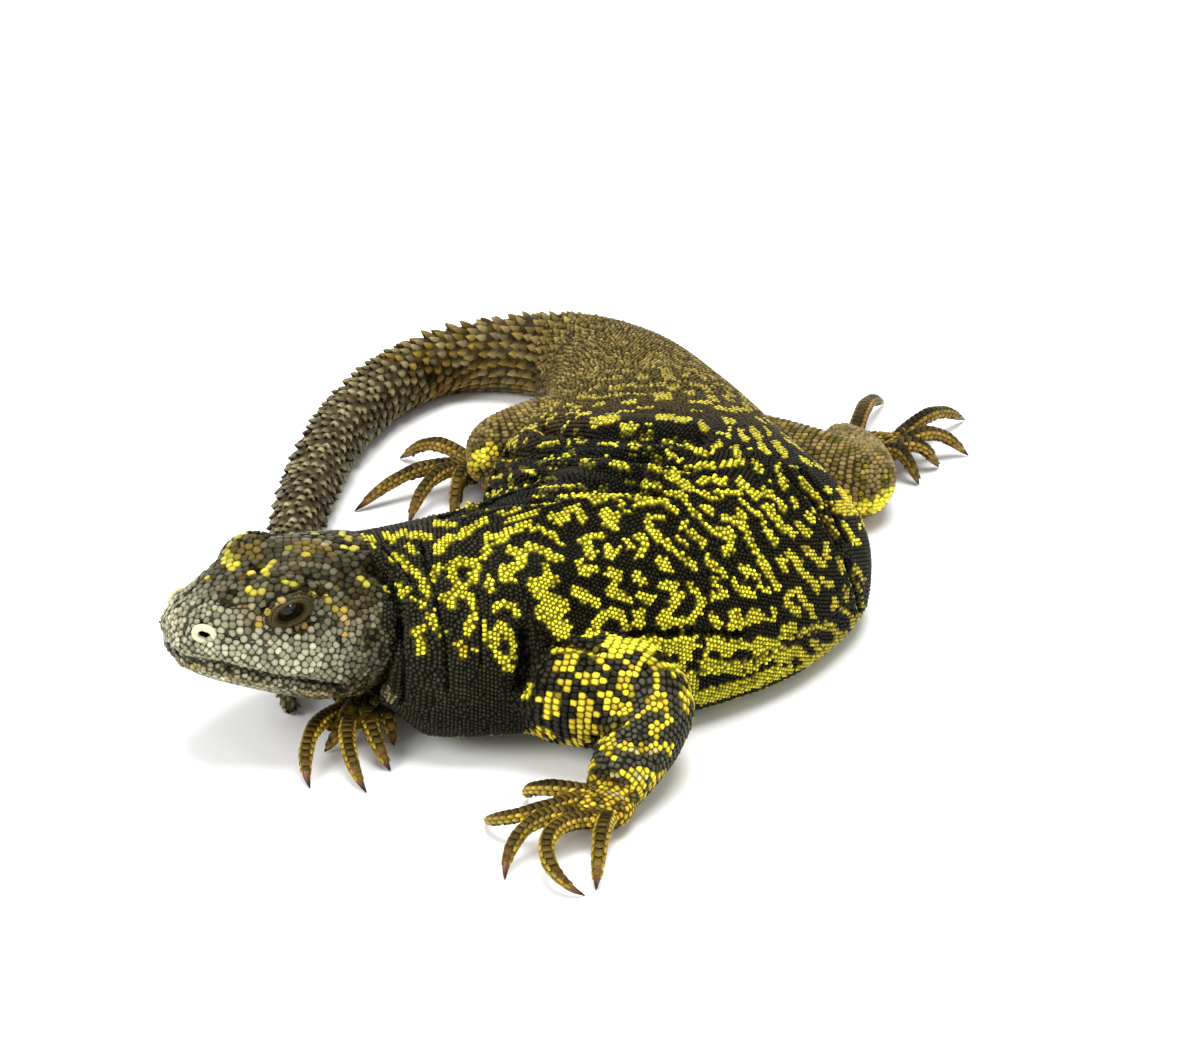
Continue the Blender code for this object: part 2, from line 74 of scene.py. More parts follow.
# All in drawing units. The spine: place on the plan, height of the widest line, half widths left and right, back,
# belly and lean.
SPINE_ROWS: Rows = (
    (-21.6, -34.4, 11.5, 9.0, 8.6, 17.0, 4.4, 8.0),
    (-16.0, -33.2, 8.4, 11.4, 9.2, 18.4, 1.0, 4.0),
    (-8.6, -33.4, 7.6, 11.4, 13.0, 19.6, 1.4, 0.0),
    (-0.6, -29.8, 7.0, 12.2, 14.0, 20.0, -0.3, 0.0),
    (4.8, -22.8, 6.2, 16.8, 15.2, 19.6, -0.4, 0.0),
    (6.0, -15.6, 5.5, 20.0, 17.8, 18.6, -0.4, 0.0),
    (6.2, -2.0, 5.8, 13.9, 17.0, 15.4, -0.3, 0.0),
    (4.8, 9.6, 6.6, 9.4, 11.4, 13.2, -0.2, 0.0),
    (1.5, 19.7, 6.0, 6.8, 7.6, 11.6, -0.2, 0.0),
    (-4.6, 27.2, 4.6, 4.6, 4.6, 9.2, -0.1, 0.0),
    (-14.4, 29.0, 3.4, 3.4, 3.4, 6.9, -0.1, 0.0),
    (-21.8, 23.4, 3.1, 3.15, 3.15, 6.3, -0.1, 0.0),
    (-27.0, 12.6, 2.8, 2.9, 2.9, 5.7, -0.1, 0.0),
    (-29.5, -0.4, 2.6, 2.7, 2.7, 5.2, -0.1, 0.0),
    (-30.5, -13.4, 2.0, 2.1, 2.1, 4.1, -0.1, 0.0),
    (-30.2, -25.2, 1.5, 1.5, 1.5, 3.0, -0.1, 0.0),
    (-28.7, -35.8, 0.7, 0.75, 0.75, 1.5, 0.0, 0.0),
)
TAIL_STATION = 9.0
HEAD_TURN = 25.0
# The head: distance ahead of the nape, half width, crown, mouth line and chin.
HEAD_ROWS: Rows = (
    (0.0, 8.6, 5.5, 0.0, -6.7),
    (2.0, 8.9, 6.0, -1.6, -7.0),
    (5.0, 8.9, 6.4, -2.4, -6.8),
    (8.0, 8.3, 6.3, -2.7, -6.4),
    (11.0, 7.2, 5.6, -2.5, -5.9),
    (14.0, 5.8, 4.5, -2.1, -5.3),
    (16.4, 4.8, 2.9, -1.8, -4.6),
    (18.0, 3.7, 1.5, -1.5, -3.8),
    (18.8, 2.4, 0.4, -1.35, -3.0),
    (19.1, 0.9, -0.6, -1.3, -2.0),
)
EYE_PLACE = (10.0, 4.3, 3.4)
EYE_RADIUS = 1.6
LID_TILT = 20.0
NOSTRIL_PLACE = (17.0, 3.2, 0.6)
EAR_PLACE = (2.6, 8.5, 1.0)

# The limbs from root to wrist or ankle: place and radius.
LIMB_ROWS: dict[str, Rows] = {
    "arm_left": (
        (-7.0, -37.0, 8.6, 4.6), (-3.8, -40.6, 7.4, 5.7), (0.4, -42.4, 7.2, 5.4), (4.0, -43.6, 6.6, 4.5),
        (3.8, -46.8, 5.3, 3.8), (2.4, -50.0, 4.0, 3.2), (1.2, -52.4, 3.1, 2.7),
    ),
    "arm_right": (
        (-9.0, -27.0, 8.5, 4.2), (-12.0, -22.5, 8.0, 4.2), (-15.0, -20.4, 6.8, 3.6), (-17.8, -20.6, 5.0, 3.1),
        (-20.4, -23.2, 3.6, 2.7), (-22.2, -27.4, 2.7, 2.2), (-22.4, -31.6, 2.1, 1.9),
    ),
    "leg_left": (
        (6.0, 8.0, 6.2, 4.4), (12.0, 5.6, 5.8, 4.2), (18.6, 3.4, 5.2, 4.1), (24.9, 1.2, 4.4, 4.1),
        (26.0, 4.4, 4.0, 3.4), (25.4, 8.0, 3.6, 2.8), (24.4, 11.4, 3.0, 2.2),
    ),
    "leg_right": (
        (3.0, 8.0, 6.6, 4.6), (-2.0, 6.4, 7.0, 4.3), (-6.2, 4.6, 7.0, 4.1), (-9.6, 3.8, 6.2, 3.8),
        (-9.6, 6.0, 4.8, 3.0), (-8.2, 8.6, 3.2, 2.3), (-5.8, 10.6, 2.6, 1.9),
    ),
}
# The palms: place, heading in degrees, half length, half width and half thickness.
PALMS: dict[str, tuple[float, ...]] = {
    "arm_left": (0.3, -54.0, 2.0, 215.0, 3.0, 2.7, 1.7),
    "arm_right": (-22.3, -35.4, 1.5, 262.0, 2.9, 2.4, 1.4),
    "leg_left": (27.4, 12.0, 1.9, 14.0, 4.2, 2.4, 1.6),
    "leg_right": (-9.8, 9.0, 1.8, 197.0, 4.4, 2.2, 1.5),
}
# The toes: side of the palm, first heading and turn in degrees, and length.
TOES: dict[str, Rows] = {
    "arm_left": (
        (127.0, 194.0, -133.0, 7.6), (146.0, 232.0, -160.0, 11.7), (240.0, 194.0, 83.0, 10.5),
        (262.0, 209.0, 174.0, 12.6), (283.0, 261.0, 4.0, 7.8),
    ),
    "arm_right": (
        (318.0, 300.0, -10.0, 4.4), (294.0, 275.0, 41.0, 8.1), (267.0, 260.0, 53.0, 11.3),
        (238.0, 235.0, 61.0, 11.3), (247.0, 276.0, -100.0, 5.4),
    ),
    "leg_left": (
        (300.0, 325.0, 0.0, 4.4), (323.0, 351.0, 42.0, 4.9), (337.0, 29.0, -35.0, 8.0),
        (31.0, 47.0, 0.0, 11.2), (122.0, 76.0, -14.0, 12.2),
    ),
    "leg_right": (
        (235.0, 285.0, 10.0, 5.0), (209.0, 251.0, 22.0, 7.8), (203.0, 222.0, 34.0, 10.1),
        (191.0, 206.0, 2.0, 12.7), (175.0, 144.0, 13.0, 8.7),
    ),
}
TOE_ROOT_RADIUS = 1.15
TOE_TIP_RADIUS = 0.74
TOE_SHARE = 0.78
TOE_RISE = 1.1
LIMB_NODES = {"arm": ("upper_arm", "forearm", "hand"), "leg": ("thigh", "shank", "foot")}


class Tint(Enum):
    """The pigments of a marking: how yellow, how warm and how pale it is."""

    LEMON = (1.0, 0.0, 0.0)
    GOLD = (1.0, 0.35, 0.0)
    OLIVE = (0.1, 0.6, 0.3)
    STRAW = (0.6, 0.25, 0.45)
    BROWN = (0.0, 0.9, 0.0)
    PALE = (0.15, 0.15, 0.9)
    BLACK = (0.0, 0.0, 0.0)
    RUST = (0.6, 1.0, 0.15)


@dataclass(frozen=True)
class Stroke:
    """A marking or crease drawn over the animal as the photograph's camera sees it.

    The points are places in the photograph's frame, and width is the stroke's breadth there.
    """

    tint: Tint
    width: float
    points: tuple[float, ...]


def strokes(tint: Tint, *lists: tuple[float, ...]) -> list[Stroke]:
    """Strokes of one tint.

    Args:
        tint: The pigment of them all.
        lists: For each stroke its width and then its points, x and y in turn.

    Returns:
        The strokes, in order.
    """
    return [Stroke(tint, row[0], row[1:]) for row in lists]


def spline(rows: np.ndarray, at: np.ndarray) -> np.ndarray:
    """Rows at stations of a smooth curve through the given rows.

    Args:
        rows: The rows that the curve passes through.
        at: Stations, where 1.5 is half way along the second span.

    Returns:
        One row for each station.
    """
    rows = np.asarray(rows, float)
    padded = np.vstack([2 * rows[0] - rows[1], rows, 2 * rows[-1] - rows[-2]])
    at = np.clip(np.atleast_1d(np.asarray(at, float)), 0, len(rows) - 1)
    span = np.minimum(at.astype(int), len(rows) - 2)
    t = (at - span)[:, None]
    before, start, end, after = (padded[span + k] for k in range(4))
    return 0.5 * (
        2 * start
        + (end - before) * t
        + (2 * before - 5 * start + 4 * end - after) * t**2
        + (3 * start - before - 3 * end + after) * t**3
    )


def unit(vectors: np.ndarray) -> np.ndarray:
    """The vectors scaled to a length of one."""
    return vectors / (np.linalg.norm(vectors, axis=-1, keepdims=True) + 1e-12)


def fade(value: np.ndarray, start: float, span: float) -> np.ndarray:
    """How far a value has come on its way from 0 at the start to 1 a span further on."""
    return np.clip((value - start) / span, 0, 1)


def bell(value: np.ndarray, width: float) -> np.ndarray:
    """A smooth peak of 1 where the value is 0, which falls away over the width."""
    return np.exp(-((value / width) ** 2))


def circle(count: int) -> np.ndarray:
    """That many even steps of angle once round."""
    return np.arange(count) * 2 * math.pi / count


def search_tree(points: np.ndarray) -> KDTree:
    """A tree that finds the nearest of many points.

    Args:
        points: The points.

    Returns:
        The tree, whose indices are the points' own.
    """
    tree = KDTree(len(points))
    for k, point in enumerate(points.tolist()):
        tree.insert(point, k)
    tree.balance()
    return tree


def link(name: str, data: bpy.types.Mesh) -> bpy.types.Object:
    """Puts a mesh into the scene as an object.

    Args:
        name: The object's name.
        data: Its mesh.

    Returns:
        The object.
    """
    thing = bpy.data.objects.new(name, data)
    bpy.context.scene.collection.objects.link(thing)
    return thing


def put_markings_and_shade(data: bpy.types.Mesh, pigment: np.ndarray) -> None:
    """Writes yellow, warm, pale and tone for each point of a mesh, where the tone also carries painted shade and
    highlights.
    """
    layer = data.color_attributes.new("markings_and_shade", "FLOAT_COLOR", "POINT")
    layer.data.foreach_set("color", pigment.astype(np.float32).ravel())


def put_unwrap(data: bpy.types.Mesh, uv: np.ndarray) -> None:
    """Writes the unwrap of a mesh.

    Args:
        data: The mesh.
        uv: One pair of coordinates for each of its points.
    """
    loops = np.empty(len(data.loops), np.int32)
    data.loops.foreach_get("vertex_index", loops)
    data.uv_layers.new(name="OFBake").uv.foreach_set("vector", uv[loops].astype(np.float32).ravel())


def oval(
    angles: np.ndarray, sizes: tuple[np.ndarray, ...], square: np.ndarray, low: np.ndarray
) -> tuple[np.ndarray, np.ndarray]:
    """The sideways and upward offsets of a section.

    Args:
        angles: The angle of each point, from the left side over the back.
        sizes: Height of the widest line, half widths left and right, back and belly.
        square: How square the section is above its widest line.
        low: How square it is below that line.

    Returns:
        The sideways offsets and the upward offsets.
    """
    middle, wide_left, wide_right, back, belly = sizes
    side, rise = np.cos(angles), np.sin(angles)
    reach = np.abs(side) ** np.where(rise > 0, square, low)
    across = np.where(side > 0, wide_left, wide_right) * np.sign(side) * reach
    below = -(middle - belly) * np.abs(rise) ** low
    return across, np.where(rise > 0, (back - middle) * np.abs(rise), below)


@dataclass
class Spine:
    """The loft of the neck, the trunk and the tail."""

    rows: Rows = SPINE_ROWS

    def frame(self, station: np.ndarray) -> tuple[np.ndarray, ...]:
        """The rows and the directions at each station.

        Args:
            station: The stations.

        Returns:
            The rows and the forward, left and up vectors.
        """
        rows = np.array(self.rows)
        station = np.atleast_1d(np.asarray(station, float))
        row = spline(rows, station)
        flat = unit(spline(rows[:, :2], station - 0.7) - spline(rows[:, :2], station + 0.7))
        lean = np.radians(row[:, 7])
        forward = np.column_stack([flat * np.cos(lean)[:, None], np.sin(lean)])
        left = np.column_stack([-flat[:, 1], flat[:, 0], np.zeros(len(flat))])
        return row, forward, left, np.cross(forward, left)

    def surface(self, station: np.ndarray, angle: np.ndarray, grow: float = 0.0) -> np.ndarray:
        """Points of the surface.

        Args:
            station: The station of each point.
            angle: Its angle round the section, in radians.
            grow: How far the surface is moved outwards.

        Returns:
            One point for each pair of station and angle.
        """
        row, _, left, up = self.frame(station)
        square = np.interp(station, (7, 9), (0.86, 1.0))
        low = np.interp(station, (0, 1, 3, 4, 6, 7, 9), (0.8, 0.6, 0.6, 0.42, 0.42, 0.6, 1.0))
        across, rise = oval(angle, tuple(row[:, 2:7].T), square, low)
        thick = np.hypot(across, rise) + 1e-6
        across, rise = across * (1 + grow / thick), rise * (1 + grow / thick)
        points = row[:, :3] + left * across[:, None] + up * rise[:, None]
        points[:, 2] = np.maximum(points[:, 2], -grow)
        return points


@dataclass
class Head:
    """The head, in its own frame at the nape."""

    spine: Spine
    rows: Rows = HEAD_ROWS

    def axes(self) -> tuple[np.ndarray, ...]:
        """The head's own frame.

        Returns:
            The nape's place and the head's forward, left and up vectors.
        """
        nape = np.array(self.spine.rows[0][:3])
        turn, lean = math.radians(HEAD_TURN), math.radians(self.spine.rows[0][7])
        flat = np.array([-math.cos(turn), -math.sin(turn), 0.0])
        forward = flat * math.cos(lean) + UP * math.sin(lean)
        left = np.array([-flat[1], flat[0], 0.0])
        return nape, forward, left, np.cross(forward, left)

    def point(self, ahead: float, left_by: float, up_by: float) -> np.ndarray:
        """A place given in the head's own frame."""
        nape, forward, left, up = self.axes()
        return nape + forward * ahead + left * left_by + up * up_by

    def local(self, points: np.ndarray) -> np.ndarray:
        """Places turned into distances ahead, to the left and up in the head's frame."""
        nape, forward, left, up = self.axes()
        return (points - nape) @ np.array([forward, left, up]).T

    def mirror(self, points: np.ndarray) -> np.ndarray:
        """Places carried over to the other side of the head."""
        left = self.axes()[2]
        return points - 2 * np.outer(self.local(points)[:, 1], left)

    def lid_axes(self, sign: float) -> tuple[np.ndarray, ...]:
        """The tilted frame of one eye.

        Args:
            sign: 1 for the left eye and -1 for the right.

        Returns:
            The eye's middle and the forward, outward and upward vectors of its lids.
        """
        _, forward, left, up = self.axes()
        tilt = math.radians(LID_TILT)
        fore = forward * math.cos(tilt) - up * math.sin(tilt)
        rise = forward * math.sin(tilt) + up * math.cos(tilt)
        ahead, aside, above = EYE_PLACE
        return self.point(ahead, aside * sign, above), fore, left * sign, rise

    def nostril(self, sign: float) -> np.ndarray:
        """The middle of one nostril."""
        return self.point(NOSTRIL_PLACE[0], NOSTRIL_PLACE[1] * sign, NOSTRIL_PLACE[2])

    def surface(self, station: np.ndarray, angle: np.ndarray) -> np.ndarray:
        """Points of the head's surface, with brows, a canthus and a groove along the mouth.

        Args:
            station: The station of each point, from the nape to the snout.
            angle: Its angle round the section, in radians.

        Returns:
            One point for each pair of station and angle.
        """
        ahead, wide, crown, mouth, chin = spline(np.array(self.rows), station).T
        nape, forward, left, up = self.axes()
        _, _, nape_left, nape_up = (v[0] for v in self.spine.frame(np.zeros(1)))
        turned = np.clip(ahead / 6.0, 0, 1)
        turned = (turned * turned * (3 - 2 * turned))[:, None]
        aside = unit(nape_left * (1 - turned) + left * turned)
        above = unit(nape_up * (1 - turned) + up * turned)
        line = mouth * turned[:, 0]
        across, rise = oval(angle, (line, wide, wide, crown, chin), 0.86, 0.8)
        rise = rise + line
        front = fade(ahead, 6.5, 2.0) * fade(ahead, 19.4, -0.8)
        near_mouth = np.abs(np.sin(angle))
        lips = bell(near_mouth - 0.15, 0.08) * 0.26 * front
        groove = bell(near_mouth, 0.035) * 0.75 * front
        across = across + np.sign(np.cos(angle)) * (lips - groove) * (np.abs(across) > 0.7)
        upper = fade(rise - line, 3.0, 2.5)
        brow = np.exp(-(((ahead - 11.0) / 2.0) ** 2) - ((np.abs(across) - 4.3) / 1.5) ** 2) * upper
        dip = np.exp(-(((ahead - 11.0) / 3.0) ** 2) - (across / 2.0) ** 2) * upper
        rise = rise + 1.5 * brow - 0.5 * dip
        across = across + np.sign(across) * 0.5 * brow
        return nape + forward * ahead[:, None] + aside * across[:, None] + above * rise[:, None]


@dataclass
class Tube:
    """A smooth tube round a path of places and radii, such as a limb or a toe."""

    rows: np.ndarray

    def surface(self, share: np.ndarray, angle: np.ndarray, grow: float = 0.0) -> np.ndarray:
        """Points of the tube.

        Args:
            share: How far along the path each point lies, from 0 to 1.
            angle: Its angle round the path, where a quarter turn is the top.
            grow: How far the surface is moved outwards.

        Returns:
            One point for each pair of share and angle.
        """
        station = np.asarray(share) * (len(self.rows) - 1)
        row = spline(self.rows, station)
        along = unit(spline(self.rows[:, :3], station + 0.3) - spline(self.rows[:, :3], station - 0.3))
        side = unit(np.cross(along, UP))
        up = np.cross(side, along)
        reach = (row[:, 3] + grow)[:, None]
        points = row[:, :3] + side * np.cos(angle)[:, None] * reach + up * np.sin(angle)[:, None] * reach
        points[:, 2] = np.maximum(points[:, 2], -grow)
        return points

    def length(self) -> float:
        """The length of the path."""
        fine = spline(self.rows[:, :3], np.linspace(0, len(self.rows) - 1, 60))
        return float(np.linalg.norm(np.diff(fine, axis=0), axis=1).sum())


@dataclass
class Foot:
    """One palm with its five toes and claws."""

    limb: str

    def toe_points(self, toe: int) -> np.ndarray:
        """The path of one toe and its claw.

        Args:
            toe: The toe's number, from 0 to 4.

        Returns:
            Points from inside the palm to the claw's tip on the floor.
        """
        x, y, z, heading, long, wide, _ = PALMS[self.limb]
        side, first, turn, length = TOES[self.limb][toe]
        off, turned = math.radians(side - heading), math.radians(heading)
        ahead, aside = math.cos(off) * long * 0.8, math.sin(off) * wide * 0.8
        place = np.array(
            [
                x + ahead * math.cos(turned) - aside * math.sin(turned),
                y + ahead * math.sin(turned) + aside * math.cos(turned),
            ]
        )
        steps, points = 12, []
        for k in range(steps + 1):
            share = k / steps
            height = (z + 0.3 + TOE_RISE * 4 * share * (1 - share)) * (1 - share**3) + 0.12 * share
            points.append((place[0], place[1], height))
            way = math.radians(first + turn * share**1.6)
            place = place + np.array([math.cos(way), math.sin(way)]) * length / steps * (1.1 - 0.2 * share)
        return np.array(points)

    def toe(self, toe: int) -> Tube:
        """The tube of one toe, which swells a little at its joints.

        Args:
            toe: The toe's number, from 0 to 4.

        Returns:
            The tube, claw included.
        """
        points = self.toe_points(toe)
        share = np.linspace(0, 1, len(points))
        swell = 0.12 * bell(share - 0.42, 0.09) + 0.06 * bell(share - 0.68, 0.06)
        reach = TOE_ROOT_RADIUS + (TOE_TIP_RADIUS - TOE_ROOT_RADIUS) * share / TOE_SHARE + swell
        return Tube(np.column_stack([points, reach * 0.74]))

    def palm(self, turn: np.ndarray, rise: np.ndarray, grow: float = 0.0) -> np.ndarray:
        """Points of the palm.

        Args:
            turn: The angle of each point on the plan.
            rise: Its angle above the plan.
            grow: How far the surface is moved outwards.

        Returns:
            One point for each pair of angles.
        """
        x, y, z, heading, long, wide, thick = PALMS[self.limb]
        way = math.radians(heading)
        ahead = (long + grow) * np.cos(rise) * np.cos(turn)
        aside = (wide + grow) * np.cos(rise) * np.sin(turn)
        points = np.column_stack(
            [
                x + ahead * math.cos(way) - aside * math.sin(way),
                y + ahead * math.sin(way) + aside * math.cos(way),
                z + (thick + grow) * np.sin(rise),
            ]
        )
        points[:, 2] = np.maximum(points[:, 2], 0.02)
        return points


@dataclass
class Viewpoint:
    """The camera that the photograph was taken with, in drawing units."""

    distance: float = 430.0
    elevation: float = 30.0
    focal: float = 4300.0
    middle: tuple[float, float] = (600.0, 524.0)

    def place(self) -> np.ndarray:
        """Where the camera stands."""
        lift = math.radians(self.elevation)
        return np.array([0.0, -self.distance * math.cos(lift), self.distance * math.sin(lift)])


@dataclass
class Cloth:
    """A growing set of closed forms that become one mesh."""

    points: list[np.ndarray] = field(default_factory=list)
    faces: list[list[int]] = field(default_factory=list)
    count: int = 0

    def add(self, rings: np.ndarray, caps: bool = True) -> None:
        """Adds a tube of rings.

        Args:
            rings: Points in the order ring, place round it, coordinate.
            caps: Whether its ends are closed.
        """
        many, around = rings.shape[:2]
        index = self.count + np.arange(many * around).reshape(many, around)
        after = np.roll(index, -1, axis=1)
        self.faces += np.stack([index[:-1], after[:-1], after[1:], index[1:]], axis=-1).reshape(-1, 4).tolist()
        if caps:
            self.faces += [index[0][::-1].tolist(), index[-1].tolist()]
        self.points.append(rings.reshape(-1, 3))
        self.count += many * around

    def add_surface(
        self, surface: Surface, first: float, last: float, many: int, around: int, **more: float
    ) -> None:
        """Adds a form given by a surface function of a station and an angle.

        Args:
            surface: The function.
            first: The first station.
            last: The last station.
            many: How many stations to take.
            around: How many angles to take.
            more: What else the function is given.
        """
        angle = circle(around)
        station = np.linspace(first, last, many)
        grid = surface(np.repeat(station, around), np.tile(angle, many), **more)
        self.add(grid.reshape(many, around, 3))

    def mesh(self, name: str, shift: np.ndarray | float = 0.0) -> bpy.types.Mesh:
        """The mesh of all the forms.

        Args:
            name: Its name.
            shift: How far its points are moved, in drawing units.

        Returns:
            The mesh, in metres.
        """
        data = bpy.data.meshes.new(name)
        data.from_pydata(((np.vstack(self.points) + shift) * LIFE).tolist(), [], self.faces)
        data.shade_smooth()
        data.update()
        return data


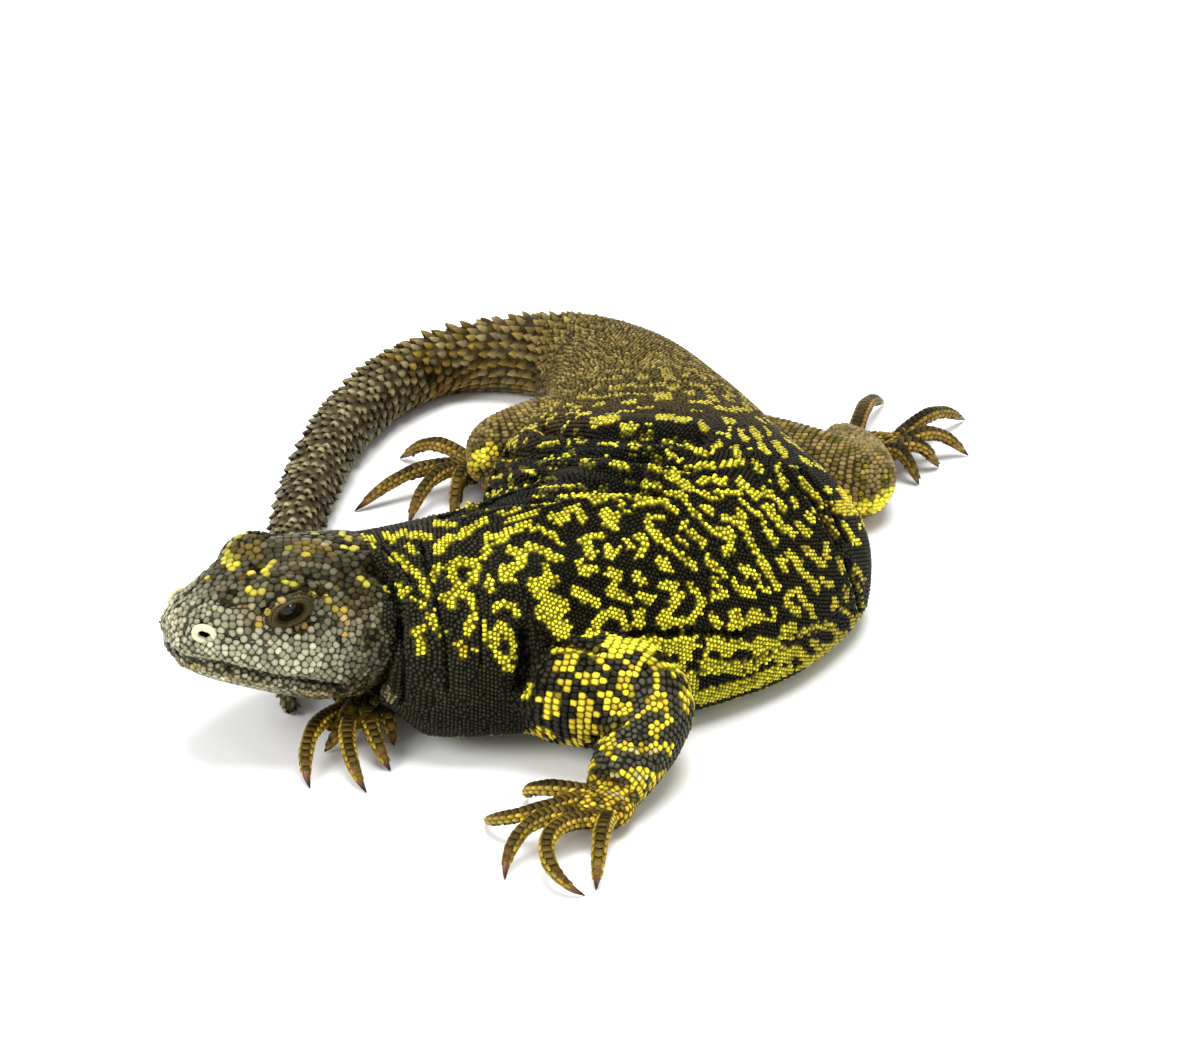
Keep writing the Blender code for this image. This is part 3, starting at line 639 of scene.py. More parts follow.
LEMON_MARKS = strokes(
    Tint.LEMON,
    # The nape and the upper neck.
    (5, 342, 533, 347, 537), (5, 343, 548, 352, 548, 360, 546), (4, 362, 537, 372, 540, 374, 548),
    (5, 386, 535, 393, 540), (4, 398, 535, 404, 533), (5, 411, 536, 420, 535, 431, 537),
    (4, 436, 525, 446, 525, 453, 524), (4, 408, 545, 415, 553), (9, 437, 551, 443, 544, 450, 538),
    (6, 460, 538, 463, 529), (5, 467, 533, 478, 525, 488, 519), (7, 362, 583, 367, 586), (5, 372, 591, 377, 594),
    (6, 390, 558, 400, 559, 408, 567, 417, 577), (9, 423, 584, 430, 594), (5, 422, 605, 416, 599, 409, 590),
    (4, 399, 584, 403, 597), (4, 385, 588, 389, 591), (10, 432, 616, 436, 625, 442, 631),
    (7, 421, 627, 417, 635, 419, 645, 421, 652), (9, 433, 576, 438, 567),
    # The rings and blotches between the neck and the shoulder.
    (7, 451, 566, 460, 562, 473, 562, 478, 572, 474, 582, 462, 586, 453, 579, 451, 568), (6, 470, 568, 470, 580),
    (7, 444, 598, 455, 594, 468, 596, 477, 602, 476, 614, 470, 624, 466, 632), (6, 450, 600, 450, 607),
    (6, 471, 600, 474, 610), (6, 461, 587, 464, 594), (9, 489, 580, 491, 588), (8, 484, 556, 488, 546),
    (8, 496, 607, 505, 604, 513, 608, 517, 614), (4, 483, 623, 484, 637),
    (8, 498, 626, 495, 636, 493, 650, 502, 659, 511, 657, 513, 645, 507, 631), (8, 506, 664, 510, 666),
    (6, 497, 630, 505, 628), (6, 487, 536, 500, 537, 512, 531, 527, 524), (5, 498, 541, 508, 538),
    (4, 508, 522, 524, 516, 538, 512), (8, 509, 550, 517, 553, 525, 553), (9, 524, 555, 520, 563),
    (12, 504, 572, 513, 568, 519, 565), (9, 503, 576, 513, 578), (7, 527, 545, 535, 549, 545, 550),
    (4, 532, 529, 541, 527, 546, 533, 555, 537, 562, 543), (5, 548, 555, 556, 560), (5, 557, 557, 561, 558),
    (7, 545, 567, 546, 577), (9, 532, 583, 545, 585, 553, 581), (5, 526, 697, 530, 686),
    # The great blotch above the shoulder.
    (13, 536, 588, 545, 597), (13, 548, 578, 552, 582), (22, 549, 611, 558, 607), (18, 557, 622, 562, 628),
    (9, 561, 634, 564, 636), (9, 540, 610, 541, 618), (6, 551, 517, 564, 513, 576, 508), (7, 557, 522, 566, 519),
    (6, 577, 511, 583, 520), (10, 606, 514, 608, 524), (8, 613, 518, 615, 529), (3, 621, 503, 624, 509, 632, 512),
    (3, 617, 516, 624, 514), (6, 583, 543, 590, 537, 601, 537), (8, 588, 545, 590, 556), (6, 594, 551, 595, 553),
    (7, 606, 546, 610, 556, 617, 551), (8, 580, 562, 584, 572, 595, 569), (8, 609, 573, 619, 576),
    (5, 616, 581, 612, 588), (9, 609, 590, 619, 595), (5, 626, 599, 629, 602), (9, 575, 591, 586, 598, 596, 602),
    (8, 586, 636, 595, 629, 600, 617, 610, 611, 619, 615, 626, 626), (3, 625, 541, 632, 548),
    (6, 634, 538, 641, 537, 644, 545, 643, 556, 637, 556), (9, 636, 577, 643, 581), (8, 641, 595, 651, 600),
    (11, 639, 614, 639, 622), (6, 621, 615, 625, 626),
    # The flank's worms and blotches.
    (5, 647, 517, 660, 517), (6, 648, 518, 651, 529, 660, 539, 672, 549, 684, 557, 696, 568),
    (9, 660, 560, 668, 568), (7, 681, 527, 684, 525), (5, 689, 532, 699, 540, 704, 545), (3, 677, 538, 686, 544),
    (4, 686, 503, 695, 513, 704, 522, 713, 532), (6, 713, 533, 721, 530, 727, 530), (8, 729, 532, 731, 541),
    (8, 730, 548, 725, 553), (6, 724, 518, 736, 521, 745, 529), (5, 746, 531, 751, 544, 759, 557, 767, 570, 777, 588),
    (9, 705, 507, 710, 511), (9, 663, 585, 673, 587, 677, 596, 672, 606), (9, 668, 612, 662, 619, 665, 625),
    (8, 666, 621, 680, 622, 691, 619), (7, 688, 586, 697, 592, 702, 601, 698, 611, 690, 618),
    (9, 714, 595, 724, 595), (5, 713, 577, 717, 587), (6, 706, 556, 712, 565, 721, 570, 725, 576),
    (8, 742, 567, 748, 572), (5, 753, 572, 756, 576), (5, 734, 580, 738, 588), (8, 742, 592, 751, 594),
    (6, 759, 586, 768, 592), (6, 711, 616, 718, 625), (10, 735, 612, 733, 625), (7, 735, 627, 750, 619, 764, 618),
    (6, 751, 613, 758, 613), (6, 773, 611, 774, 617), (7, 785, 599, 790, 606, 797, 612), (6, 789, 595, 797, 590),
    (5, 801, 597, 808, 606, 814, 616), (11, 785, 629, 792, 629), (5, 805, 577, 814, 582, 816, 590),
    (6, 775, 517, 781, 527, 792, 534), (5, 764, 525, 769, 535, 776, 543), (4, 738, 512, 744, 518),
    (6, 800, 526, 808, 535), (6, 805, 549, 813, 557, 822, 565), (6, 788, 554, 796, 560, 801, 570, 808, 577),
    (8, 781, 561, 785, 568), (4, 741, 500, 749, 508, 757, 513, 762, 518), (7, 764, 507, 771, 509, 771, 513),
    (5, 823, 517, 830, 529, 836, 537), (5, 822, 507, 831, 504), (6, 826, 545, 826, 556), (6, 834, 600, 834, 607),
    (5, 822, 580, 830, 585), (4, 845, 588, 846, 600), (4, 850, 574, 858, 590, 862, 604), (4, 855, 568, 862, 580),
    (5, 842, 610, 850, 617, 857, 622), (5, 846, 640, 852, 632), (4, 838, 560, 842, 570),
    # The wrinkled upper side.
    (6, 668, 477, 679, 481, 686, 485), (3, 686, 486, 700, 493, 712, 498, 719, 500), (6, 642, 484, 651, 487, 660, 488),
    (5, 627, 483, 633, 482), (5, 634, 497, 645, 496, 652, 498), (5, 637, 504, 650, 503, 660, 502),
    (6, 666, 503, 672, 507, 675, 512), (6, 669, 493, 680, 494, 686, 499), (6, 700, 482, 712, 479, 723, 482),
    (6, 686, 470, 696, 469), (5, 700, 465, 712, 466), (5, 722, 464, 742, 463), (7, 655, 457, 659, 458),
    (5, 650, 468, 659, 469), (4, 667, 472, 679, 473), (6, 686, 444, 694, 449, 702, 453), (6, 713, 450, 719, 445),
    (7, 644, 436, 653, 436), (5, 632, 445, 637, 446), (5, 717, 492, 728, 494, 739, 492), (6, 738, 481, 747, 487),
    (7, 751, 491, 758, 497), (6, 583, 464, 592, 465), (8, 614, 466, 626, 467), (6, 600, 489, 607, 489),
    (4, 565, 487, 573, 489), (4, 581, 488, 585, 490), (4, 522, 469, 534, 473), (3, 540, 479, 556, 479),
    (5, 540, 446, 556, 444), (6, 576, 430, 581, 442), (4, 536, 497, 545, 494), (3, 560, 497, 600, 495, 640, 496),
    (3, 545, 505, 560, 501), (3, 470, 509, 482, 505), (4, 495, 478, 502, 474), (4, 540, 490, 556, 489),
    (5, 466, 500, 470, 508), (3, 600, 444, 616, 445), (3, 500, 515, 520, 509), (4, 592, 500, 606, 501),
    # The band low on the flank, and the line along the belly's edge.
    (15, 612, 645, 630, 645, 646, 645), (14, 648, 641, 668, 646, 684, 642, 700, 641, 716, 642),
    (6, 612, 640, 607, 637), (10, 684, 653, 686, 668, 693, 681, 692, 692), (10, 702, 650, 712, 660, 722, 667),
    (10, 724, 667, 740, 668, 755, 662), (9, 731, 645, 744, 646, 757, 652, 757, 660), (7, 757, 640, 768, 642, 776, 648),
    (9, 776, 660, 785, 652, 796, 651, 804, 656, 809, 660), (5, 780, 637, 790, 637),
    (8, 802, 632, 815, 627, 830, 625, 838, 634, 836, 646, 823, 649, 813, 643), (5, 643, 655, 650, 660, 662, 668),
    (8, 700, 700, 730, 691, 760, 682, 790, 668, 820, 655, 842, 640, 858, 618), (9, 806, 662, 826, 655, 846, 640),
    (13, 672, 668, 700, 668, 740, 668, 786, 656), (11, 690, 652, 730, 650, 776, 646),
    (9, 640, 648, 670, 650), (12, 866, 507, 876, 504, 890, 494),
    (6, 778, 466, 781, 476, 785, 487), (6, 779, 501, 785, 510), (5, 755, 463, 762, 472), (5, 763, 490, 773, 497),
    (5, 792, 500, 795, 506), (4, 800, 478, 812, 492, 820, 502), (6, 734, 449, 737, 455), (5, 746, 440, 740, 432),
    (5, 752, 431, 758, 438), (5, 775, 444, 784, 455), (5, 700, 425, 706, 430), (5, 760, 447, 768, 453),
    (6, 692, 697, 706, 692, 722, 687, 750, 680, 768, 671, 780, 668), (5, 586, 652, 600, 654, 618, 653),
)
GOLD_MARKS = strokes(
    Tint.STRAW, (5, 616, 748, 642, 752, 666, 748), (5, 610, 771, 640, 776, 662, 772), (4, 606, 791, 630, 798, 652, 793),
) + strokes(
    Tint.GOLD,
    # The shoulder and the upper arm.
    (9, 558, 650, 568, 649, 576, 652, 573, 659), (10, 558, 665, 568, 670), (8, 566, 680, 563, 690),
    (13, 545, 699, 553, 701), (13, 549, 710, 554, 711), (5, 527, 733, 537, 742), (5, 533, 731, 545, 739),
    (5, 541, 728, 551, 735), (8, 548, 747, 560, 747, 575, 744, 588, 738), (5, 569, 722, 577, 731, 589, 737),
    (8, 580, 697, 590, 707, 596, 716), (7, 576, 703, 586, 714), (6, 580, 676, 584, 683), (6, 590, 675, 600, 675),
    (6, 591, 682, 592, 683), (6, 604, 681, 604, 683), (5, 603, 663, 606, 669), (5, 597, 695, 597, 696),
    (8, 612, 696, 617, 702), (8, 607, 704, 613, 713), (6, 620, 709, 620, 710), (6, 627, 707, 628, 711),
    (6, 619, 673, 628, 677, 637, 675), (8, 624, 685, 629, 691), (5, 624, 664, 630, 664), (5, 636, 667, 648, 664),
    (7, 657, 674, 656, 684, 656, 694), (7, 662, 699, 663, 701), (6, 647, 704, 652, 711, 658, 706),
    (5, 638, 715, 646, 714), (6, 666, 713, 668, 719), (6, 664, 723, 665, 724), (6, 655, 722, 652, 730, 656, 734),
    (6, 641, 733, 642, 733), (5, 682, 690, 685, 700, 683, 713), (6, 588, 723, 594, 730, 600, 732),
    (5, 580, 724, 581, 725), (4, 603, 731, 612, 724, 618, 725), (5, 626, 723, 627, 725), (5, 655, 667, 668, 670),
    # The forearm's bands.
    (6, 607, 743, 612, 735, 617, 733), (7, 603, 745, 608, 746), (5, 611, 752, 614, 758), (7, 588, 757, 591, 765),
    (5, 620, 747, 632, 746), (5, 638, 748, 650, 748, 657, 745, 668, 746), (5, 618, 770, 625, 774),
    (5, 632, 769, 648, 771, 664, 773), (5, 585, 775, 596, 781), (5, 598, 784, 612, 789, 625, 792),
    (5, 630, 783, 640, 786, 648, 786), (5, 641, 791, 646, 798, 641, 808), (5, 655, 777, 652, 788),
    (4, 668, 752, 672, 742), (5, 458, 642, 464, 649, 466, 656), (4, 475, 648, 478, 652),
    # The hind legs' yellow under edges.
    (12, 480, 455, 492, 450), (9, 474, 465, 484, 463), (12, 838, 508, 852, 510, 864, 505), (9, 842, 490, 848, 500),
)
FACE_ZONES = strokes(
    Tint.OLIVE, (6, 178, 664, 205, 668, 240, 678, 268, 686), (5, 300, 690, 330, 694), (8, 386, 690, 392, 698),
    (9, 240, 606, 256, 604), (6, 300, 540, 330, 546),
) + strokes(
    Tint.BROWN, (14, 240, 550, 256, 548), (5, 250, 560, 262, 556), (10, 300, 545, 330, 552), (5, 300, 630, 318, 624),
    (7, 166, 652, 172, 654),
) + strokes(
    Tint.RUST, (4, 262, 613, 270, 609, 280, 600), (4, 255, 618, 262, 623), (5, 330, 598, 338, 608, 345, 622),
    (4, 340, 610, 346, 620),
)
HEAD_MARKS = strokes(
    Tint.LEMON,
    (5, 236, 538, 243, 535, 248, 534), (9, 224, 561, 232, 566, 240, 562), (6, 228, 550, 230, 556),
    (6, 232, 556, 234, 557), (7, 265, 568, 273, 564, 279, 561), (4, 284, 549, 288, 548),
    (6, 246, 589, 254, 592, 262, 588), (4, 286, 583, 298, 583), (5, 264, 570, 266, 572), (4, 312, 533, 316, 534),
) + strokes(
    Tint.GOLD,
    (5, 308, 594, 320, 593, 328, 598, 334, 603), (6, 330, 602, 334, 612), (6, 343, 602, 346, 607),
    (4, 352, 616, 355, 619), (5, 345, 637, 346, 639), (5, 254, 622, 260, 623), (4, 262, 616, 268, 613),
    (5, 304, 554, 310, 555),
    (4, 244, 575, 250, 573), (5, 226, 543, 229, 545), (4, 222, 603, 227, 605), (3, 205, 579, 212, 579),
) + strokes(
    Tint.PALE,
    (3, 313, 640, 312, 648, 306, 652), (3, 318, 645, 311, 649), (3, 303, 662, 310, 664, 318, 661),
    (3, 310, 665, 311, 672),
) + strokes(Tint.BROWN, (8, 240, 551, 256, 549))
BLACK_SPOTS = strokes(
    Tint.BLACK,
    (8, 461, 573, 462, 574), (8, 505, 643, 506, 646), (10, 697, 652, 697, 655), (7, 713, 654, 717, 655),
    (9, 749, 655, 753, 657), (11, 690, 666, 697, 669), (9, 822, 637, 829, 637), (6, 413, 592, 417, 595),
    (6, 716, 678, 728, 676), (5, 742, 651, 735, 657), (6, 762, 668, 774, 663), (5, 664, 676, 674, 680),
    (5, 792, 664, 800, 662), (4, 640, 661, 646, 668), (5, 700, 640, 705, 646), (4, 846, 626, 850, 632),
    (8, 655, 655, 672, 660), (4, 470, 572, 471, 573),
)
CREASES = strokes(
    Tint.BLACK,
    # The groove behind the jaw, the neck's loose folds and the hollow before the shoulder.
    (7, 372, 568, 383, 576, 393, 590, 398, 612, 398, 636, 391, 660, 381, 686, 364, 706),
    (4, 420, 540, 428, 572, 437, 606, 445, 645, 447, 690), (3, 478, 596, 481, 630, 481, 664),
    (9, 522, 632, 524, 660, 519, 688), (4, 400, 620, 404, 660, 402, 700), (4, 546, 644, 570, 645, 596, 652),
    (4, 590, 741, 606, 731, 622, 722), (3, 383, 548, 400, 566, 410, 582),
    # The fold above the flank's band, and the wrinkles on the upper side.
    (5, 630, 634, 680, 632, 740, 634), (7, 545, 431, 600, 434, 660, 436, 700, 440),
    (8, 505, 455, 560, 449, 610, 451, 660, 460), (7, 484, 474, 520, 466, 570, 464, 640, 474),
    (7, 474, 492, 520, 481, 570, 478, 640, 485), (6, 480, 503, 530, 493, 600, 489, 660, 494),
    (4, 440, 516, 500, 505, 560, 500), (3, 610, 458, 660, 464, 710, 474), (4, 560, 440, 620, 441, 670, 446),
    (3, 800, 470, 825, 500, 845, 540), (3, 780, 468, 812, 500, 838, 545), (3, 845, 560, 856, 590, 860, 610),
)
FACE_CREASES = strokes(
    Tint.BLACK,
    (3.6, 161, 640, 170, 650, 182, 658, 220, 664, 240, 670, 260, 674, 280, 679, 300, 680, 320, 684, 342, 687),
    (2.4, 264, 628, 280, 636, 300, 632, 322, 618), (2.4, 262, 610, 280, 596, 304, 588, 328, 594),
    (2, 222, 634, 244, 642, 266, 646), (2.4, 296, 700, 330, 706, 366, 702), (2, 330, 610, 340, 640, 338, 664),
    (2, 250, 566, 268, 578, 300, 580, 330, 582), (2, 210, 600, 232, 606, 250, 604), (2, 180, 646, 190, 612, 204, 600),
)


class Region(Enum):
    """The kinds of scale bed."""

    TRUNK = 0
    TAIL = 1
    HEAD = 2
    LIMB = 3
    TOE = 4


@dataclass
class Animal:
    """Every form of the body, and the plan's place in the frame."""

    shift: np.ndarray
    spine: Spine = field(default_factory=Spine)

    def __post_init__(self) -> None:
        """Makes the head, the limbs and the feet."""
        self.head = Head(self.spine)
        self.limbs = {name: Tube(np.array(rows)) for name, rows in LIMB_ROWS.items()}
        self.feet = {name: Foot(name) for name in LIMB_ROWS}

    @classmethod
    def from_frame(cls) -> "Animal":
        """The animal, placed so that its left eye lies where the frame's does.

        Returns:
            The animal.
        """
        low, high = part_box("eye_left")
        middle = (np.array(low) + np.array(high)) / 2 / LIFE
        shift = middle - Head(Spine()).lid_axes(1.0)[0]
        return cls(np.array([shift[0], shift[1], 0.0]))

    def metres(self, points: np.ndarray) -> np.ndarray:
        """Places of the drawing turned into places of the frame, in metres.

        Args:
            points: Places in drawing units.

        Returns:
            The same places in the frame.
        """
        return (np.asarray(points) + self.shift) * LIFE

    def tail_stations(self, pitch: tuple[float, float]) -> np.ndarray:
        """Stations of the tail's whorls, whose pitch narrows towards the tip.

        Args:
            pitch: The first and the last pitch.

        Returns:
            The stations.
        """
        fine = np.linspace(TAIL_STATION - 1.1, 16, 800)
        track = spline(np.array(self.spine.rows)[:, :2], fine)
        steps = np.concatenate([[0], np.cumsum(np.linalg.norm(np.diff(track, axis=0), axis=1))])
        at, found = 0.0, []
        while at < steps[-1]:
            found.append(at)
            at += pitch[0] + (pitch[1] - pitch[0]) * (at / steps[-1]) ** 0.8
        return np.interp(found, steps, fine)


@dataclass
class Chart:
    """Sample places all over the forms, which say of any place what it is part of and which way its scales lie."""

    animal: Animal

    def __post_init__(self) -> None:
        """Samples every form and gives each its own cell of the unwrap."""
        self.parts: list[tuple[np.ndarray, ...]] = []
        spine, head = self.animal.spine, self.animal.head
        self._sample(spine.surface, (0.0, 9.0), 170, 80, Region.TRUNK, (0.0, 0.0, 0.62, 1.0), 1.0)
        self._sample(spine.surface, (9.0, 16.0), 170, 28, Region.TAIL, (0.64, 0.0, 0.76, 1.0), 1.0, True)
        self._sample(head.surface, (0.0, 9.0), 46, 56, Region.HEAD, (0.78, 0.0, 0.99, 0.4), -1.0)
        for k, (name, tube) in enumerate(self.animal.limbs.items()):
            left, low = 0.78 + 0.11 * (k % 2), 0.42 + 0.19 * (k // 2)
            self._sample(tube.surface, (0.0, 1.0), 60, 36, Region.LIMB, (left, low, left + 0.1, low + 0.18), 1.0, True)
        for k, foot in enumerate(self.animal.feet.values()):
            low = 0.81 + 0.047 * k
            for toe in range(5):
                left = 0.78 + 0.035 * toe
                cell = (left, low, left + 0.033, low + 0.045)
                self._sample(foot.toe(toe).surface, (0.0, TOE_SHARE), 26, 12, Region.TOE, cell, 1.0, True)
            self._palm(foot, (0.955, low, 0.99, low + 0.045))
        columns = list(zip(*self.parts))
        self.points, self.rear, self.side, self.region, self.station, self.angle, self.uv, self.grain = (
            np.concatenate(c) for c in columns
        )
        self.tree = search_tree(self.points)

    def _sample(
        self, surface: Surface, span: tuple[float, float], many: int, around: int, region: Region,
        cell: tuple[float, ...], sign: float, upright: bool = False
    ) -> None:
        """Samples one form over a grid of stations and angles.

        Args:
            surface: The form's surface function.
            span: Its first and last station.
            many: How many stations to take.
            around: How many angles to take.
            region: The kind of scale bed that it carries.
            cell: Its cell of the unwrap: left, bottom, right, top.
            sign: 1 where stations run to the rear, and -1 where they run forwards.
            upright: Whether its length runs up the cell instead of across.
        """
        station, turn = np.linspace(*span, many), np.linspace(0, 2 * math.pi, around, endpoint=False)
        stations, angles = np.repeat(station, around), np.tile(turn, many)
        points = surface(stations, angles)
        step = (span[1] - span[0]) / many * 0.5
        rear = unit(surface(stations + step, angles) - surface(stations - step, angles)) * sign
        side = unit(surface(stations, angles + 0.05) - surface(stations, angles - 0.05))
        grid = points.reshape(many, around, 3)
        length = np.linalg.norm(np.diff(grid, axis=0), axis=2).sum(axis=0).max()
        girth = np.linalg.norm(grid - np.roll(grid, 1, axis=1), axis=2).sum(axis=1).max()
        along = np.repeat(np.linspace(0, 1, many), around)
        across = np.tile(turn / (2 * math.pi), many)
        if upright:
            uv = np.column_stack([across, along])
            grain = (cell[2] - cell[0]) / girth, (cell[3] - cell[1]) / length * sign
        else:
            uv = np.column_stack([along, across])
            grain = (cell[2] - cell[0]) / length * sign, (cell[3] - cell[1]) / girth
        uv = np.array(cell[:2]) + uv * (np.array(cell[2:]) - cell[:2])
        flags = np.tile([grain[0], grain[1], float(upright)], (len(points), 1))
        kinds = np.full(len(points), region.value)
        self.parts.append((points, rear, side, kinds, stations, angles, uv, flags))

    def _palm(self, foot: Foot, cell: tuple[float, ...]) -> None:
        """Samples one palm.

        Args:
            foot: The foot.
            cell: Its cell of the unwrap.
        """
        turn, rise = np.meshgrid(np.linspace(0, 2 * math.pi, 24), np.linspace(-1.5, 1.5, 13))
        turn, rise = turn.ravel(), rise.ravel()
        points = foot.palm(turn, rise)
        way = math.radians(PALMS[foot.limb][3])
        rear = np.tile([math.cos(way), math.sin(way), 0.0], (len(points), 1))
        side = unit(np.cross(rear, UP))
        uv = np.column_stack([turn / (2 * math.pi), (rise + 1.5) / 3.0])
        uv = np.array(cell[:2]) + uv * (np.array(cell[2:]) - cell[:2])
        flags = np.tile([0.002, 0.002, 0.0], (len(points), 1))
        kinds = np.full(len(points), Region.TOE.value)
        self.parts.append((points, rear, side, kinds, np.zeros(len(points)), turn, uv, flags))

    def nearest(self, points: np.ndarray) -> np.ndarray:
        """The index of the sample that is nearest to each place."""
        return np.array([self.tree.find(p)[1] for p in points.tolist()], int)

    def unwrap(self, points: np.ndarray, near: np.ndarray) -> np.ndarray:
        """The place of each point on the unwrap.

        Args:
            points: The places.
            near: Their nearest samples.

        Returns:
            One pair of coordinates for each place.
        """
        off = points - self.points[near]
        along = (off * self.rear[near]).sum(axis=1)
        across = (off * self.side[near]).sum(axis=1)
        upright = self.grain[near, 2] > 0.5
        first, second = np.where(upright, across, along), np.where(upright, along, across)
        return self.uv[near] + np.column_stack([first * self.grain[near, 0], second * self.grain[near, 1]])


@dataclass
class Sight:
    """What the photograph's camera sees of the skin."""

    lens: Viewpoint
    tree: BVHTree

    def project(self, points: np.ndarray) -> np.ndarray:
        """Where places of the drawing show in the photograph's frame.

        Args:
            points: Places in drawing units.

        Returns:
            One pair of coordinates for each place.
        """
        lift = math.radians(self.lens.elevation)
        depth = self.lens.distance + points[:, 1] * math.cos(lift) - points[:, 2] * math.sin(lift)
        height = points[:, 1] * math.sin(lift) + points[:, 2] * math.cos(lift)
        scale = self.lens.focal / depth
        return np.column_stack([self.lens.middle[0] + points[:, 0] * scale, self.lens.middle[1] - height * scale])

    def visible(self, points: np.ndarray, normals: np.ndarray) -> np.ndarray:
        """Whether the camera sees each place of the skin.

        Args:
            points: The places.
            normals: The skin's normals there.

        Returns:
            One flag for each place.
        """
        eye = self.lens.place()
        aim = unit(eye - points)
        facing = (aim * normals).sum(axis=1) > 0.03
        seen = facing.copy()
        start = points + normals * 0.25
        for k in np.nonzero(facing)[0]:
            seen[k] = self.tree.ray_cast(Vector(start[k]), Vector(aim[k]), 300.0)[0] is None
        return seen

    @staticmethod
    def reach(places: np.ndarray, stroke: Stroke, most: float) -> np.ndarray:
        """How far each place of the photograph's frame lies from a stroke.

        Args:
            places: Places in the photograph's frame.
            stroke: The stroke.
            most: Places further away than this are not measured.

        Returns:
            The distances, where those that are not measured are endless.
        """
        line = np.array(stroke.points, float).reshape(-1, 2)
        if len(line) == 1:
            line = np.vstack([line, line])
        away = np.full(len(places), np.inf)
        low, high = line.min(axis=0) - most, line.max(axis=0) + most
        near = np.nonzero(((places > low) & (places < high)).all(axis=1))[0]
        spots = places[near]
        best = np.full(len(near), np.inf)
        for start, end in zip(line[:-1], line[1:]):
            step = end - start
            share = np.clip(((spots - start) @ step) / (step @ step + 1e-9), 0, 1)
            best = np.minimum(best, np.linalg.norm(spots - start - share[:, None] * step, axis=1))
        away[near] = best
        return away


@dataclass
class Labyrinth:
    """A seeded pattern of worms and blotches for the sides that the photograph doesn't show."""

    seed: int
    wave: float = 3.4

    def value(self, first: np.ndarray, second: np.ndarray) -> np.ndarray:
        """The height of the pattern.

        Args:
            first: The first surface coordinate of each place.
            second: Its second one.

        Returns:
            One height for each place, about -2 to 2.
        """
        random = np.random.default_rng(self.seed)
        total = np.zeros(len(first))
        for _ in range(26):
            way, phase = random.uniform(0, 2 * math.pi), random.uniform(0, 2 * math.pi)
            rate = 2 * math.pi / (self.wave * random.uniform(0.75, 1.3))
            total += np.cos(rate * (first * math.cos(way) + second * math.sin(way)) + phase)
        return total / math.sqrt(13.0)


